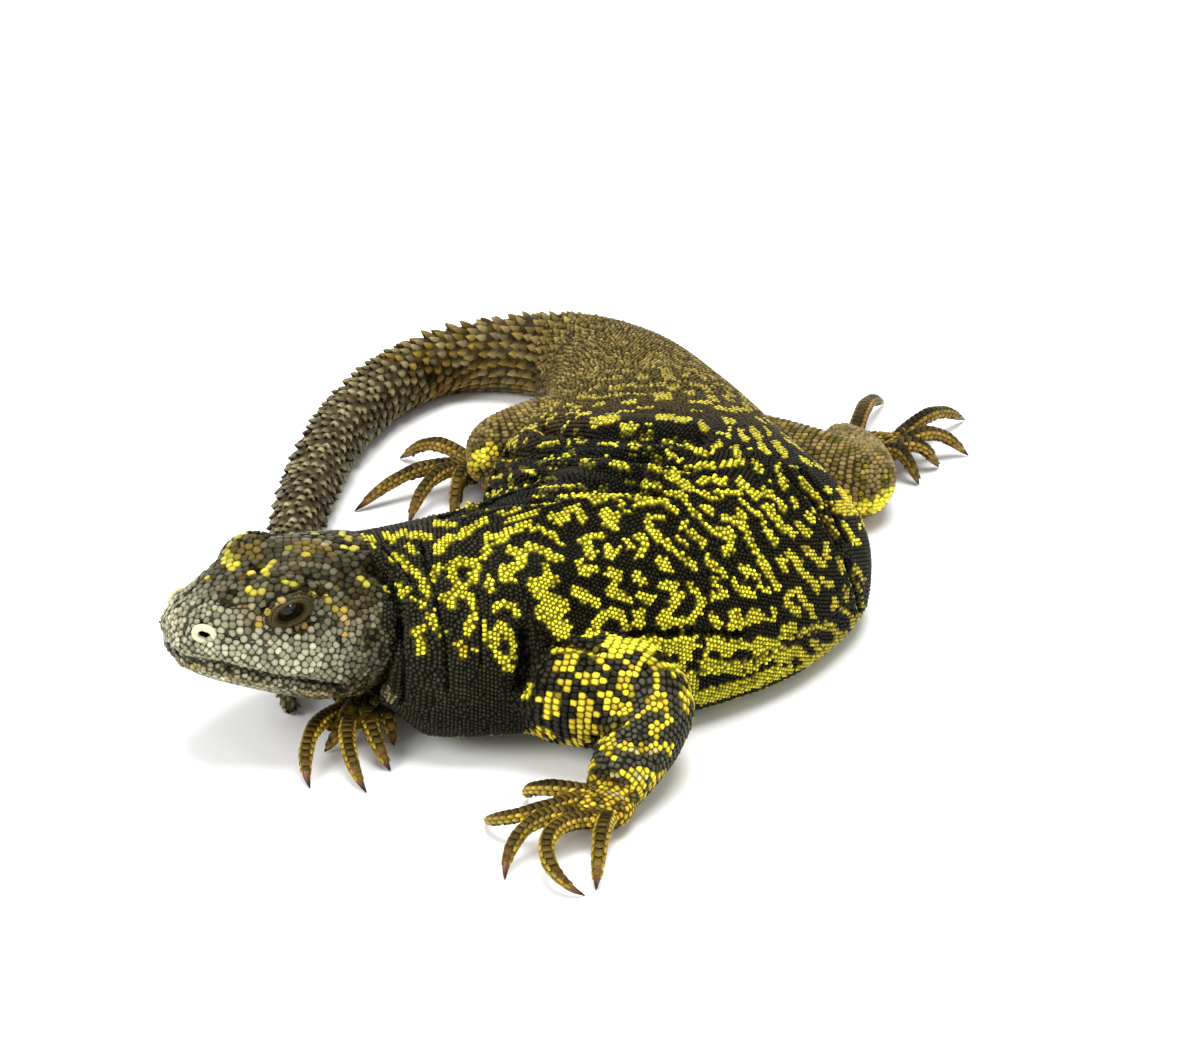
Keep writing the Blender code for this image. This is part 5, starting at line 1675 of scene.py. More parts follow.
class Fabric:
    """A small helper that adds nodes to a tree and joins them."""

    def __init__(self, tree: bpy.types.NodeTree) -> None:
        """Keeps the tree.

        Args:
            tree: The node tree to fill.
        """
        self.tree = tree

    def add(self, kind: str, settings: dict | None = None, **inputs: Value) -> bpy.types.Node:
        """Adds a node.

        Args:
            kind: The node's type.
            settings: Properties of the node.
            inputs: Values or outputs for its inputs, by name with spaces as underscores, or by in_ and a number.

        Returns:
            The node.
        """
        node = self.tree.nodes.new(kind)
        for name, value in (settings or {}).items():
            setattr(node, name, value)
        for name, value in inputs.items():
            key = int(name[3:]) if name.startswith("in_") else name.replace("_", " ")
            if isinstance(value, bpy.types.NodeSocket):
                self.tree.links.new(value, node.inputs[key])
            else:
                node.inputs[key].default_value = value
        return node

    def mix(self, share: Value, first: Value, second: Value, blend: str = "MIX") -> bpy.types.NodeSocket:
        """Mixes two colours.

        Args:
            share: The share of the second.
            first: The first colour.
            second: The second colour.
            blend: How they are mixed.

        Returns:
            The mixed colour.
        """
        settings = {"data_type": "RGBA", "blend_type": blend}
        return self.add("ShaderNodeMix", settings, in_0=share, in_6=first, in_7=second).outputs[2]

    def noise(self, scale: float, detail: float = 3.0) -> bpy.types.NodeSocket:
        """A noise value over the object's own coordinates.

        Args:
            scale: How fine it is.
            detail: How many finer layers it has.

        Returns:
            The value.
        """
        where = self.add("ShaderNodeTexCoord").outputs["Object"]
        return self.add("ShaderNodeTexNoise", None, Vector=where, Scale=scale, Detail=detail).outputs[0]

    def ramp(self, value: Value, *stops: tuple[float, Colour]) -> bpy.types.NodeSocket:
        """A colour ramp.

        Args:
            value: The value to look up.
            stops: Each stop's place and colour.

        Returns:
            The colour.
        """
        node = self.add("ShaderNodeValToRGB", None, Fac=value)
        while len(node.color_ramp.elements) < len(stops):
            node.color_ramp.elements.new(0.5)
        for element, (place, colour) in zip(node.color_ramp.elements, stops):
            element.position = place
            element.color = (*colour, 1.0) if len(colour) == 3 else colour
        return node.outputs[0]


def rgb(red: float, green: float, blue: float) -> Colour:
    """A colour given in the way of a paint chart, turned into linear light.

    Args:
        red: Red, 0 to 255.
        green: Green, 0 to 255.
        blue: Blue, 0 to 255.

    Returns:
        The colour with full cover.
    """
    return (*((c / 255.0) ** 2.2 for c in (red, green, blue)), 1.0)


@dataclass(frozen=True)
class Palette:
    """The pigments of the skin, as colours."""

    black: Colour = rgb(34, 32, 20)
    olive: Colour = rgb(100, 85, 46)
    lemon: Colour = rgb(212, 204, 58)
    ochre: Colour = rgb(184, 138, 46)
    pale: Colour = rgb(166, 162, 134)


class Groups:
    """The shared node groups of the finishes."""

    @staticmethod
    def _new(name: str, inputs: dict[str, tuple[str, object]], outputs: dict[str, str]) -> tuple:
        """Starts a group.

        Args:
            name: The group's name.
            inputs: The type and first value of each input.
            outputs: The type of each output.

        Returns:
            The group, its helper, its input node and its output node.
        """
        group = bpy.data.node_groups.new(name, "ShaderNodeTree")
        for key, (kind, value) in inputs.items():
            socket = group.interface.new_socket(name=key, in_out="INPUT", socket_type=kind)
            socket.default_value = value
        for key, kind in outputs.items():
            group.interface.new_socket(name=key, in_out="OUTPUT", socket_type=kind)
        fabric = Fabric(group)
        return group, fabric, group.nodes.new("NodeGroupInput"), group.nodes.new("NodeGroupOutput")

    @classmethod
    def pigment(cls, palette: Palette) -> bpy.types.NodeTree:
        """The colour of scaly skin from the pigments and tone of its points, where the tone also carries painted shade
        and highlights, and the skin between the scales gets painted shade.

        Args:
            palette: The colours of the pigments.

        Returns:
            The group.
        """
        inputs = {"Depth": ("NodeSocketFloat", 0.0)}
        group, fabric, source, target = cls._new("scale_pigment_and_shade", inputs, {"Color": "NodeSocketColor"})
        marks = fabric.add("ShaderNodeAttribute", {"attribute_name": "markings_and_shade"})
        parts = fabric.add("ShaderNodeSeparateColor", None, Color=marks.outputs["Color"])
        yellow, warm, pale = parts.outputs
        tone = marks.outputs["Alpha"]
        ground = fabric.mix(warm, palette.black, palette.olive)
        bright = fabric.mix(warm, palette.lemon, palette.ochre)
        colour = fabric.mix(yellow, ground, bright)
        colour = fabric.mix(pale, colour, palette.pale)
        # The tone becomes a brightness, which holds each scale's own tone together with the painted shade and
        # highlights.
        shade = fabric.ramp(tone, (0.0, (0.04,) * 3), (0.3, (0.5,) * 3), (0.55, (1.0,) * 3), (1.0, (1.9,) * 3))
        colour = fabric.mix(1.0, colour, shade, "MULTIPLY")
        wide = fabric.ramp(fabric.noise(160.0), (0.3, (0.82,) * 3), (0.7, (1.14,) * 3))
        colour = fabric.mix(1.0, colour, wide, "MULTIPLY")
        fine = fabric.ramp(fabric.noise(2600.0, 2.0), (0.35, (0.86,) * 3), (0.65, (1.1,) * 3))
        colour = fabric.mix(1.0, colour, fine, "MULTIPLY")
        # Painted shade in the gaps: the skin between the scales is darkened towards near-black.
        dark = fabric.mix(source.outputs["Depth"], colour, rgb(10, 10, 10))
        fabric.tree.links.new(dark, target.inputs["Color"])
        return group

    @classmethod
    def grain(cls) -> bpy.types.NodeTree:
        """The fine relief and the uneven gloss of horn and skin.

        Returns:
            The group.
        """
        inputs = {"Scale": ("NodeSocketFloat", 3000.0), "Strength": ("NodeSocketFloat", 0.2)}
        outputs = {"Normal": "NodeSocketVector", "Roughness": "NodeSocketFloat"}
        group, fabric, source, target = cls._new("fine_grain", inputs, outputs)
        height = fabric.noise(3000.0)
        fabric.tree.links.new(source.outputs["Scale"], height.node.inputs["Scale"])
        bump = fabric.add("ShaderNodeBump", None, Height=height, Distance=0.00004)
        fabric.tree.links.new(source.outputs["Strength"], bump.inputs["Strength"])
        rough = fabric.add("ShaderNodeMapRange", None, Value=height, To_Min=0.2, To_Max=0.42)
        fabric.tree.links.new(bump.outputs[0], target.inputs["Normal"])
        fabric.tree.links.new(rough.outputs[0], target.inputs["Roughness"])
        return group


class Finish:
    """The base of every finish: a named material with one shader."""

    name: str

    def material(self) -> bpy.types.Material:
        """The material, made once and then shared.

        Returns:
            The material.
        """
        found = bpy.data.materials.get(self.name)
        if found:
            return found
        made = bpy.data.materials.new(self.name)
        made.use_nodes = True
        fabric = Fabric(made.node_tree)
        self.dress(fabric, made.node_tree.nodes["Principled BSDF"])
        return made

    def dress(self, fabric: Fabric, shader: bpy.types.Node) -> None:
        """Fills in the shader.

        Args:
            fabric: The material's node helper.
            shader: The material's shader.
        """
        raise NotImplementedError

    @staticmethod
    def group(fabric: Fabric, group: bpy.types.NodeTree, **inputs: float) -> bpy.types.Node:
        """Adds a shared group to the material.

        Args:
            fabric: The material's node helper.
            group: The group.
            inputs: Values for its inputs.

        Returns:
            The group's node.
        """
        node = fabric.add("ShaderNodeGroup", {"node_tree": group})
        for key, value in inputs.items():
            node.inputs[key].default_value = value
        return node


@dataclass(frozen=True)
class ScaleFinish(Finish):
    """Scaly skin: matt horn with a faint gloss, in the colours of its markings."""

    name: str
    pigment: bpy.types.NodeTree
    grain: bpy.types.NodeTree
    # How far the colour is darkened towards near-black: painted shade in the gaps between the scales.
    depth: float = 0.0
    gloss: float = 0.06
    fineness: float = 3200.0

    def dress(self, fabric: Fabric, shader: bpy.types.Node) -> None:
        """Fills in the shader.

        Args:
            fabric: The material's node helper.
            shader: The material's shader.
        """
        colour = self.group(fabric, self.pigment, Depth=self.depth)
        grain = self.group(fabric, self.grain, Scale=self.fineness)
        fabric.tree.links.new(colour.outputs["Color"], shader.inputs["Base Color"])
        fabric.tree.links.new(grain.outputs["Normal"], shader.inputs["Normal"])
        fabric.tree.links.new(grain.outputs["Roughness"], shader.inputs["Roughness"])
        shader.inputs["Specular IOR Level"].default_value = self.gloss


@dataclass(frozen=True)
class HornFinish(Finish):
    """Horn that darkens towards the tip, with fine lines along it."""

    name: str
    grain: bpy.types.NodeTree
    root: Colour = rgb(112, 80, 46)
    tip: Colour = rgb(44, 31, 20)

    def dress(self, fabric: Fabric, shader: bpy.types.Node) -> None:
        """Fills in the shader.

        Args:
            fabric: The material's node helper.
            shader: The material's shader.
        """
        along = fabric.add("ShaderNodeAttribute", {"attribute_name": "along"}).outputs["Fac"]
        colour = fabric.ramp(along, (0.0, self.root), (0.45, self.root), (0.85, self.tip))
        streak = fabric.ramp(fabric.noise(2400.0), (0.3, (0.8,) * 3), (0.7, (1.15,) * 3))
        colour = fabric.mix(1.0, colour, streak, "MULTIPLY")
        grain = self.group(fabric, self.grain, Scale=4200.0, Strength=0.15)
        fabric.tree.links.new(colour, shader.inputs["Base Color"])
        fabric.tree.links.new(grain.outputs["Normal"], shader.inputs["Normal"])
        shader.inputs["Roughness"].default_value = 0.3
        shader.inputs["Specular IOR Level"].default_value = 0.22


@dataclass(frozen=True)
class EyeFinish(Finish):
    """A dark, wet eye with a brown iris round a black pupil."""

    name: str
    pupil: Colour = (0.004, 0.003, 0.003)
    iris: Colour = rgb(44, 28, 17)
    iris_edge: Colour = rgb(56, 38, 23)
    white: Colour = rgb(20, 14, 10)

    def dress(self, fabric: Fabric, shader: bpy.types.Node) -> None:
        """Fills in the shader.

        Args:
            fabric: The material's node helper.
            shader: The material's shader.
        """
        along = fabric.add("ShaderNodeAttribute", {"attribute_name": "along"}).outputs["Fac"]
        pupil, iris = ((0.0, self.pupil), (0.27, self.pupil)), ((0.3, self.iris), (0.46, self.iris_edge))
        colour = fabric.ramp(along, *pupil, *iris, (0.6, self.white))
        flecks = fabric.ramp(fabric.noise(5200.0), (0.3, (0.6,) * 3), (0.7, (1.25,) * 3))
        fabric.tree.links.new(fabric.mix(1.0, colour, flecks, "MULTIPLY"), shader.inputs["Base Color"])
        shader.inputs["Roughness"].default_value = 0.04
        shader.inputs["Specular IOR Level"].default_value = 0.2


@dataclass(frozen=True)
class StageFinish(Finish):
    """The plain pale floor."""

    name: str = "finish_floor"

    def dress(self, fabric: Fabric, shader: bpy.types.Node) -> None:
        """Fills in the shader.

        Args:
            fabric: The material's node helper.
            shader: The material's shader.
        """
        colour = fabric.ramp(fabric.noise(3.0), (0.0, (0.93,) * 3), (1.0, (0.96,) * 3))
        fabric.tree.links.new(colour, shader.inputs["Base Color"])
        shader.inputs["Roughness"].default_value = 0.9


class Finishes:
    """The finishes of the whole animal, made once and shared by its pieces."""

    def __init__(self) -> None:
        """Makes the shared node groups and the finishes that use them."""
        pigment, grain = Groups.pigment(Palette()), Groups.grain()
        self.scales = ScaleFinish("finish_scales", pigment, grain)
        # The skin under the scales gets painted shade where it shows between them.
        self.hide = ScaleFinish("finish_skin", pigment, grain, depth=0.8, gloss=0.02)
        self.horn = HornFinish("finish_horn", grain)
        self.eye = EyeFinish("finish_eye")


def wear(piece: bpy.types.Object, finish: Finish, slot: str, nodes: tuple[str, ...] = ()) -> bpy.types.Object:
    """Gives a piece its finish, hangs it from the root and hides the frame's nodes that it stands for.

    Args:
        piece: The piece.
        finish: Its finish.
        slot: The record's material slot for the piece. It is not used.
        nodes: The nodes of the frame that it stands for.

    Returns:
        The piece.
    """
    piece.data.materials.clear()
    piece.data.materials.append(finish.material())
    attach(piece, "root")
    if nodes:
        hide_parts(*nodes)
    return piece


@dataclass
class Whorls:
    """The rings of pointed scales round the tail."""

    animal: Animal
    pitch: tuple[float, float] = (1.5, 1.15)
    first: float = 8.3
    breadth: float = 1.04
    seed: int = 29

    def lay(self, bed: ScaleBed) -> Table:
        """Lays the whorls over the tail.

        Args:
            bed: The bed that they are laid on.

        Returns:
            The rows of the scales.
        """
        spine, random, parts = self.animal.spine, np.random.default_rng(self.seed), []
        stations = self.animal.tail_stations(self.pitch)
        turn = np.linspace(0, 2 * math.pi, 200)
        for k, station in enumerate(stations[stations > self.first]):
            ring = spine.surface(np.full(200, station), turn)
            run = np.concatenate([[0], np.cumsum(np.linalg.norm(np.diff(ring, axis=0), axis=1))])
            girth = run[-1]
            many = int(np.clip(round(girth / self.breadth), 8, 40))
            places = np.arange(many) + 0.25 + 0.5 * (k % 2) + random.normal(0, 0.07, many)
            angle = np.interp(places % many / many * girth, run, turn)
            points = spine.surface(station + random.normal(0, 0.02, many), angle)
            pitch = np.interp(station, (8, 16), self.pitch) * np.interp(station, (self.first, 10.5), (0.5, 0.9))
            tall = np.interp(station, (8, 10, 12, 16), (0.5, 0.68, 0.56, 0.42))
            tall *= np.clip((station - 7.6) / 1.6, 0.25, 1)
            height = tall * np.clip((np.sin(angle) + 0.75) / 0.6, 0.3, 1) * random.uniform(0.6, 1.2, many)
            wide = np.full(many, girth / many * 0.97)
            parts.append(np.column_stack([points, np.full(many, pitch), wide, height]))
        table = np.vstack(parts)
        spots, normals, kept = bed.settle(table[:, :3], 1.2)
        rows = {"point": spots, "normal": normals, "near": bed.chart.nearest(spots)}
        rows.update(zip(("length", "width", "height"), table[kept, 3:].T))
        fits = (spots[:, 2] > 0.25) | (normals[:, 2] > -0.5)
        rows = {name: values[fits] for name, values in rows.items()}
        rows["soft"] = np.zeros(len(rows["point"]))
        bed.keep(point=rows["point"], normal=rows["normal"], pitch=rows["width"] * 0.9, near=rows["near"])
        return rows


@dataclass
class Coat:
    """The skin and its whole coat of scales."""

    animal: Animal
    finishes: Finishes
    view: Viewpoint
    most: int = 4200
    # For the trunk, tail, head, limbs and toes: how tall and flat-topped their scales are, how far their painted shade
    # is softened, and how tilted they are.
    tall: tuple[float, ...] = (0.9, 0.6, 0.36, 0.42, 0.5)
    flat: tuple[float, ...] = (0.0, 0.3, 0.9, 0.55, 0.6)
    soft: tuple[float, ...] = (0.0, 0.3, 0.62, 0.1, 0.0)
    lift: tuple[float, ...] = (0.0, 0.1, 0.02, 0.1, 0.05)
    soft_hind: float = 0.55

    def build(self) -> list[bpy.types.Object]:
        """Makes the skin, lays the scales on it and colours them all.

        Returns:
            The pieces.
        """
        self.skin = Skin(self.animal)
        thing = self.skin.build()
        self.skin.shape(self.view)
        self.chart = Chart(self.animal)
        bed = ScaleBed(self.skin, self.chart)
        tail = Whorls(self.animal).lay(bed)
        rows = bed.cover()
        markings_and_shade = Markings(self.chart, Sight(self.view, bed.tree))
        cloth = ScaleCloth(self.animal)
        rows = self._dress(rows, markings_and_shade)
        self._plates(rows)
        rows["reach"] = cloth.outlines(rows)
        pieces = self._beds(cloth, {name: values[len(tail["point"]) :] for name, values in rows.items()})
        tail = self._dress(tail, markings_and_shade)
        pieces.append(wear(cloth.keeled("tail_spines", tail), self.finishes.scales, "tail_scales"))
        return pieces + [self._finish_skin(thing, rows, tail)]

    def _dress(self, rows: Table, markings_and_shade: Markings) -> Table:
        """Gives scales their lie, their place on the unwrap and their pigments.

        Args:
            rows: The scales' places, normals and nearest samples.
            markings_and_shade: What colours them.

        Returns:
            The rows with the new columns.
        """
        near, normal = rows["near"], rows["normal"]
        rear = self.chart.rear[near]
        rear = unit(rear - normal * (rear * normal).sum(axis=1)[:, None])
        uv = self.chart.unwrap(rows["point"], near)
        pigment = markings_and_shade.paint(rows["point"], normal, near)
        return rows | {"rear": rear, "side": np.cross(normal, rear), "uv": uv, "pigment": pigment}

    def _plates(self, rows: Table) -> None:
        """Gives the small scales their sizes.

        Args:
            rows: Their rows, which get the new columns.
        """
        region = self.chart.region[rows["near"]]
        rows["size"] = rows["pitch"] / 2
        rows["height"] = rows["size"] * np.choose(region, self.tall)
        for name, values in (("flat", self.flat), ("soft", self.soft), ("lift", self.lift)):
            rows[name] = np.choose(region, values)
        rows["soft"][(region == Region.LIMB.value) & (rows["point"][:, 1] > HIND_FROM)] = self.soft_hind

    def _beds(self, cloth: ScaleCloth, rows: Table) -> list[bpy.types.Object]:
        """Makes the coat's pieces, each with a few thousand scales.

        Args:
            cloth: What makes the meshes.
            rows: The small scales.

        Returns:
            The pieces.
        """
        region, station = self.chart.region[rows["near"]], self.chart.station[rows["near"]]
        pieces = []
        for kind in Region:
            slot, chosen = f"{kind.name.lower()}_scales", np.nonzero(region == kind.value)[0]
            order = chosen[np.argsort(station[chosen], kind="stable")]
            for part, index in enumerate(np.array_split(order, max(1, math.ceil(len(order) / self.most)))):
                if len(index):
                    piece = cloth.domes(f"{slot}_{part + 1}", {name: values[index] for name, values in rows.items()})
                    pieces.append(wear(piece, self.finishes.scales, slot))
        return pieces

    def _finish_skin(self, thing: bpy.types.Object, rows: Table, tail: Table) -> bpy.types.Object:
        """Moves the skin into the frame and copies the scales' markings to it.

        Args:
            thing: The skin.
            rows: The small scales.
            tail: The tail's pointed scales.

        Returns:
            The skin.
        """
        points, data = self.skin.points, thing.data
        tree = search_tree(np.vstack([rows["point"], tail["point"]]))
        near = np.array([tree.find(p)[1] for p in points.tolist()])
        colour = np.vstack([rows["pigment"], tail["pigment"]])[near].astype(np.float32)
        # Painted shade in the nostril holes: the skin round each one is black.
        for _, sign in SIDES:
            colour[np.linalg.norm(points - self.animal.head.nostril(sign), axis=1) < 1.1] = 0.0
        colour[near >= len(rows["point"]), 3] *= 1.6
        put_markings_and_shade(data, colour)
        put_unwrap(data, np.clip(self.chart.unwrap(points, self.chart.nearest(points)), 0, 1))
        data.vertices.foreach_set("co", self.animal.metres(points).ravel())
        data.shade_smooth()
        data.update()
        flesh = ["head", "neck", "chest", "belly", "hips"] + [f"tail_{k + 1}" for k in range(6)]
        for limb in LIMB_ROWS:
            kind, side = limb.split("_")
            flesh += [f"{name}_{side}" for name in LIMB_NODES[kind]]
        return wear(thing, self.finishes.hide, "trunk_scales", tuple(flesh))


@dataclass
class Assembly:
    """The base of the small sub-assemblies."""

    animal: Animal
    finishes: Finishes

    def build(self) -> list[bpy.types.Object]:
        """Makes and dresses the pieces.

        Returns:
            The pieces.
        """
        raise NotImplementedError

    def grid(self, name: str, grid: np.ndarray, along: np.ndarray, caps: bool = True) -> bpy.types.Object:
        """A piece made of rings, with a value along it for its finish.

        Args:
            name: The piece's name.
            grid: Its points, in the order ring, place round it, coordinate.
            along: One value for each ring.
            caps: Whether its ends are closed.

        Returns:
            The piece.
        """
        cloth = Cloth()
        cloth.add(grid, caps)
        data = cloth.mesh(name, self.animal.shift)
        values = data.attributes.new("along", "FLOAT", "POINT").data
        values.foreach_set("value", np.repeat(along, grid.shape[1]))
        return link(name, data)


@dataclass
class Eyes(Assembly):
    """The eyes and the folded lids that close round them."""

    around: int = 40
    rings: int = 24
    lid_around: int = 96
    lid_steps: int = 40
    opening: tuple[float, float] = (1.3, 0.86)
    rim: tuple[float, float] = (2.5, 1.7)
    folds: float = 4.2

    def build(self) -> list[bpy.types.Object]:
        """Makes each eye and its lids.

        Returns:
            The pieces.
        """
        return [make(side, sign) for side, sign in SIDES for make in (self._ball, self._lids)]

    def _ball(self, side: str, sign: float) -> bpy.types.Object:
        """Makes one eye.

        Args:
            side: The side of the head.
            sign: 1 for the left side and -1 for the right.

        Returns:
            The eye.
        """
        place, fore, out, rise = self.animal.head.lid_axes(sign)
        turn, lift = circle(self.around) * sign, np.linspace(0.001, math.pi, self.rings)
        across = np.outer(np.sin(lift), np.cos(turn)), np.outer(np.sin(lift), np.sin(turn))
        rings = np.stack([across[0], np.outer(np.cos(lift), np.ones(self.around)), across[1]])
        grid = place + EYE_RADIUS * np.einsum("kij,kc->ijc", rings, np.array([fore, out, rise]))
        eye = self.grid(f"eye_ball_{side}", grid, lift / math.pi * 2)
        return wear(eye, self.finishes.eye, "eye", (f"eye_{side}",))

    def _lids(self, side: str, sign: float) -> bpy.types.Object:
        """Makes one ring of lids, with folds and beads round its opening.

        Args:
            side: The side of the head.
            sign: 1 for the left side and -1 for the right.

        Returns:
            The lids.
        """
        place, fore, out, rise = self.animal.head.lid_axes(sign)
        turn, share = circle(self.lid_around) * sign, np.linspace(0, 1, self.lid_steps)
        over, down = np.sin(turn), share[:, None]
        wide, tall = (inner + (outer - inner) * share for inner, outer in zip(self.opening, self.rim))
        point = np.sign(np.cos(turn)) * np.abs(np.cos(turn)) ** 0.8
        pinch = np.sign(over) * np.abs(over) ** 1.15
        fold = np.cos(down * 2 * math.pi * self.folds) * np.clip(down * 6, 0, 1)
        beads = np.cos(np.outer(np.floor(share * 2 * self.folds), np.full(self.lid_around, 1.3)) + turn * 30)
        stand = 1.7 + 0.42 * np.sin(np.clip(down * 2.2, 0, 1) * math.pi / 2) - 1.1 * np.clip(down - 0.35, 0, 1) ** 1.4
        height = stand + 0.03 * fold + 0.035 * beads + 0.16 * np.clip(over, 0, 1) * (1 - down)
        grid = np.empty((self.lid_steps + 1, self.lid_around, 3))
        for k in range(self.lid_steps):
            across = np.outer(point * wide[k], fore) + np.outer(pinch * tall[k], rise)
            grid[k + 1] = place + across + np.outer(height[k], out)
        grid[0] = grid[1] * 0.9 + place * 0.1 - out * 0.35
        lids = self.grid(f"lids_{side}", grid[:, ::-1], np.concatenate([[0.0], share]), caps=False)
        pigment = np.tile([0.0, 0.82, 0.05, 0.5], (self.lid_steps + 1, self.lid_around, 1))
        # The lids' tone follows their folds and beads, with painted shade in the hollows and lighter crests, and
        # painted shade at the outer edge where they tuck under the face and at the inner lip.
        pigment[1:, :, 3] = 0.21 + 0.09 * (fold + 0.6 * beads)[:, ::-1] - 0.14 * (down > 0.85)
        pigment[:3, :, 3] = 0.08
        put_markings_and_shade(lids.data, np.clip(pigment, 0, 1))
        return wear(lids, self.finishes.scales, "head_scales")


@dataclass
class Claws(Assembly):
    """The twenty claws."""

    root: float = 0.56
    tip: float = 0.06
    around: int = 12
    rings: int = 11

    def build(self) -> list[bpy.types.Object]:
        """Makes the claws, five for each hand and foot.

        Returns:
            The claws.
        """
        return [self._claw(limb, foot, toe) for limb, foot in self.animal.feet.items() for toe in range(5)]

    def _claw(self, limb: str, foot: Foot, toe: int) -> bpy.types.Object:
        """Makes one claw.

        Args:
            limb: The limb's name.
            foot: Its hand or foot.
            toe: The toe's number.

        Returns:
            The claw.
        """
        kind, side = limb.split("_")
        label = f"{'hand' if kind == 'arm' else 'foot'}_{side}_{toe + 1}"
        points = foot.toe_points(toe)
        left = fade(np.linspace(0, 1, len(points)), 1.0, TOE_SHARE - 1)
        tube = Tube(np.column_stack([points, self.tip + (self.root - self.tip) * left**0.75]))
        share = np.linspace(TOE_SHARE - 0.02, 1.0, self.rings)
        grid = tube.surface(np.repeat(share, self.around), np.tile(circle(self.around), self.rings))
        grid = grid.reshape(self.rings, self.around, 3)
        claw = self.grid(f"nail_{label}", grid[:, ::-1], np.linspace(0, 1, self.rings))
        return wear(claw, self.finishes.horn, "claw_horn", (f"claw_{label}",))


@dataclass
class ToeBands(Assembly):
    """The scutes that cross the top of each toe, one piece for each foot."""

    pitch: float = 0.64
    covered: float = 0.84
    # The seams between a band's five plates, in degrees, and how far each plate is set back.
    seams: tuple[float, ...] = (-12.0, 16.0, 52.0, 128.0, 164.0, 192.0)
    stagger: tuple[float, ...] = (0.0, 0.5, 0.0, 0.5, 0.0)
    bulge: float = 0.26
    # The scute's section: place along the toe in pitches, height, and how light it is there, with painted shade where
    # it dips under its neighbours and lightest along its raised rear edge.
    profile: Rows = ((-0.36, -0.1, 0.2), (-0.32, 0.03, 0.6), (0.1, 0.1, 1.0), (0.56, 0.08, 1.25), (0.64, -0.03, 0.35))
    around: int = 25
    seed: int = 23

    def build(self) -> list[bpy.types.Object]:
        """Makes the scutes of each foot.

        Returns:
            The pieces.
        """
        self.random = np.random.default_rng(self.seed)
        edges = np.array(self.seams)
        angles = np.linspace(edges[0], edges[-1], self.around)
        self.turn, self.plate = np.radians(angles), np.digitize(angles, edges[1:-1])
        self.seam = bell(angles[:, None] - edges[1:-1], 5.0).max(axis=1)
        middle, half = ((edges[1:] + sign * edges[:-1])[self.plate] / 2 for sign in (1, -1))
        self.slip = self.bulge * (1 - ((angles - middle) / half) ** 2) + np.array(self.stagger)[self.plate] - 0.3
        self.top = fade(np.sin(self.turn), 0.62, 0.25)[:, None]
        return [self._foot(k, limb) for k, limb in enumerate(self.animal.feet)]

    def _foot(self, row: int, limb: str) -> bpy.types.Object:
        """Makes the scutes of one foot.

        Args:
            row: The foot's row on the unwrap.
            limb: The limb's name.

        Returns:
            The piece.
        """
        cloth, pigments, places = Cloth(), [], []
        corners = self.around * len(self.profile)
        for toe in range(5):
            tube = self.animal.feet[limb].toe(toe)
            long = tube.length()
            count = int(long * self.covered / self.pitch)
            knots = np.arange(0, count + 3, 2.5)
            dappled = np.interp(np.arange(count + 1), knots, self.random.random(len(knots)))
            for step in range(1, count + 1):
                share = step / count * self.covered
                sunk = 0.14 * fade(share, 0.74, 0.14) + 0.09 * self.seam
                rings = [
                    tube.surface(share + (along + self.slip) * self.pitch / long, self.turn, grow=high - sunk)
                    for along, high, _ in self.profile
                ]
                cloth.add(np.stack(rings, axis=1))
                pigments.append(self._paint(share, dappled[step], 0.0 if "arm" in limb else 1.0).reshape(-1, 4))
                spot = (0.794 + 0.035 * toe + 0.003 * (step % 2), 0.813 + 0.047 * row + 0.04 * step / count)
                places.append(np.tile(spot, (corners, 1)) + self.random.uniform(-0.0015, 0.0015, (corners, 2)))
        data = cloth.mesh(f"toe_bands_{limb}", self.animal.shift)
        put_unwrap(data, np.vstack(places))
        put_markings_and_shade(data, np.clip(np.vstack(pigments), 0, 1))
        return wear(link(data.name, data), self.finishes.scales, "toe_scales")

    def _paint(self, share: float, dapple: float, rusty: float) -> np.ndarray:
        """The pigments of one band, with the painted shade of its section in the tone.

        Args:
            share: How far along the toe it lies.
            dapple: How light its top is, from 0 to 1.
            rusty: 1 for a hind foot and 0 for a hand.

        Returns:
            Four values for each of its points.
        """
        top, worn = self.top, fade(share, 0.5, 0.2)
        gold = self.random.uniform(0.35, 1.0, 5)[self.plate][:, None]
        light = (1 - top) * (0.64 - 0.16 * worn) + top * (0.02 + 0.22 * dapple + 0.1 * worn)
        light *= 0.75 + 0.5 * self.random.random(5)[self.plate][:, None]
        paint = np.empty((self.around, len(self.profile), 4))
        crest = np.array([0.05, 0.1, 0.2, 0.5, 0.3]) * (0.3 + dapple)
        paint[:, :, 0] = (1 - top) * (0.9 - 0.45 * rusty) * gold + top * crest
        paint[:, :, 1] = 0.68 + 0.2 * top + 0.25 * rusty * (1 - top)
        paint[:, :, 2] = 0.03
        # The tone takes the section's painted shade and is darker along the seams between the plates.
        paint[:, :, 3] = light * (1 - 0.75 * self.seam[:, None]) * [shade for _, _, shade in self.profile]
        return paint


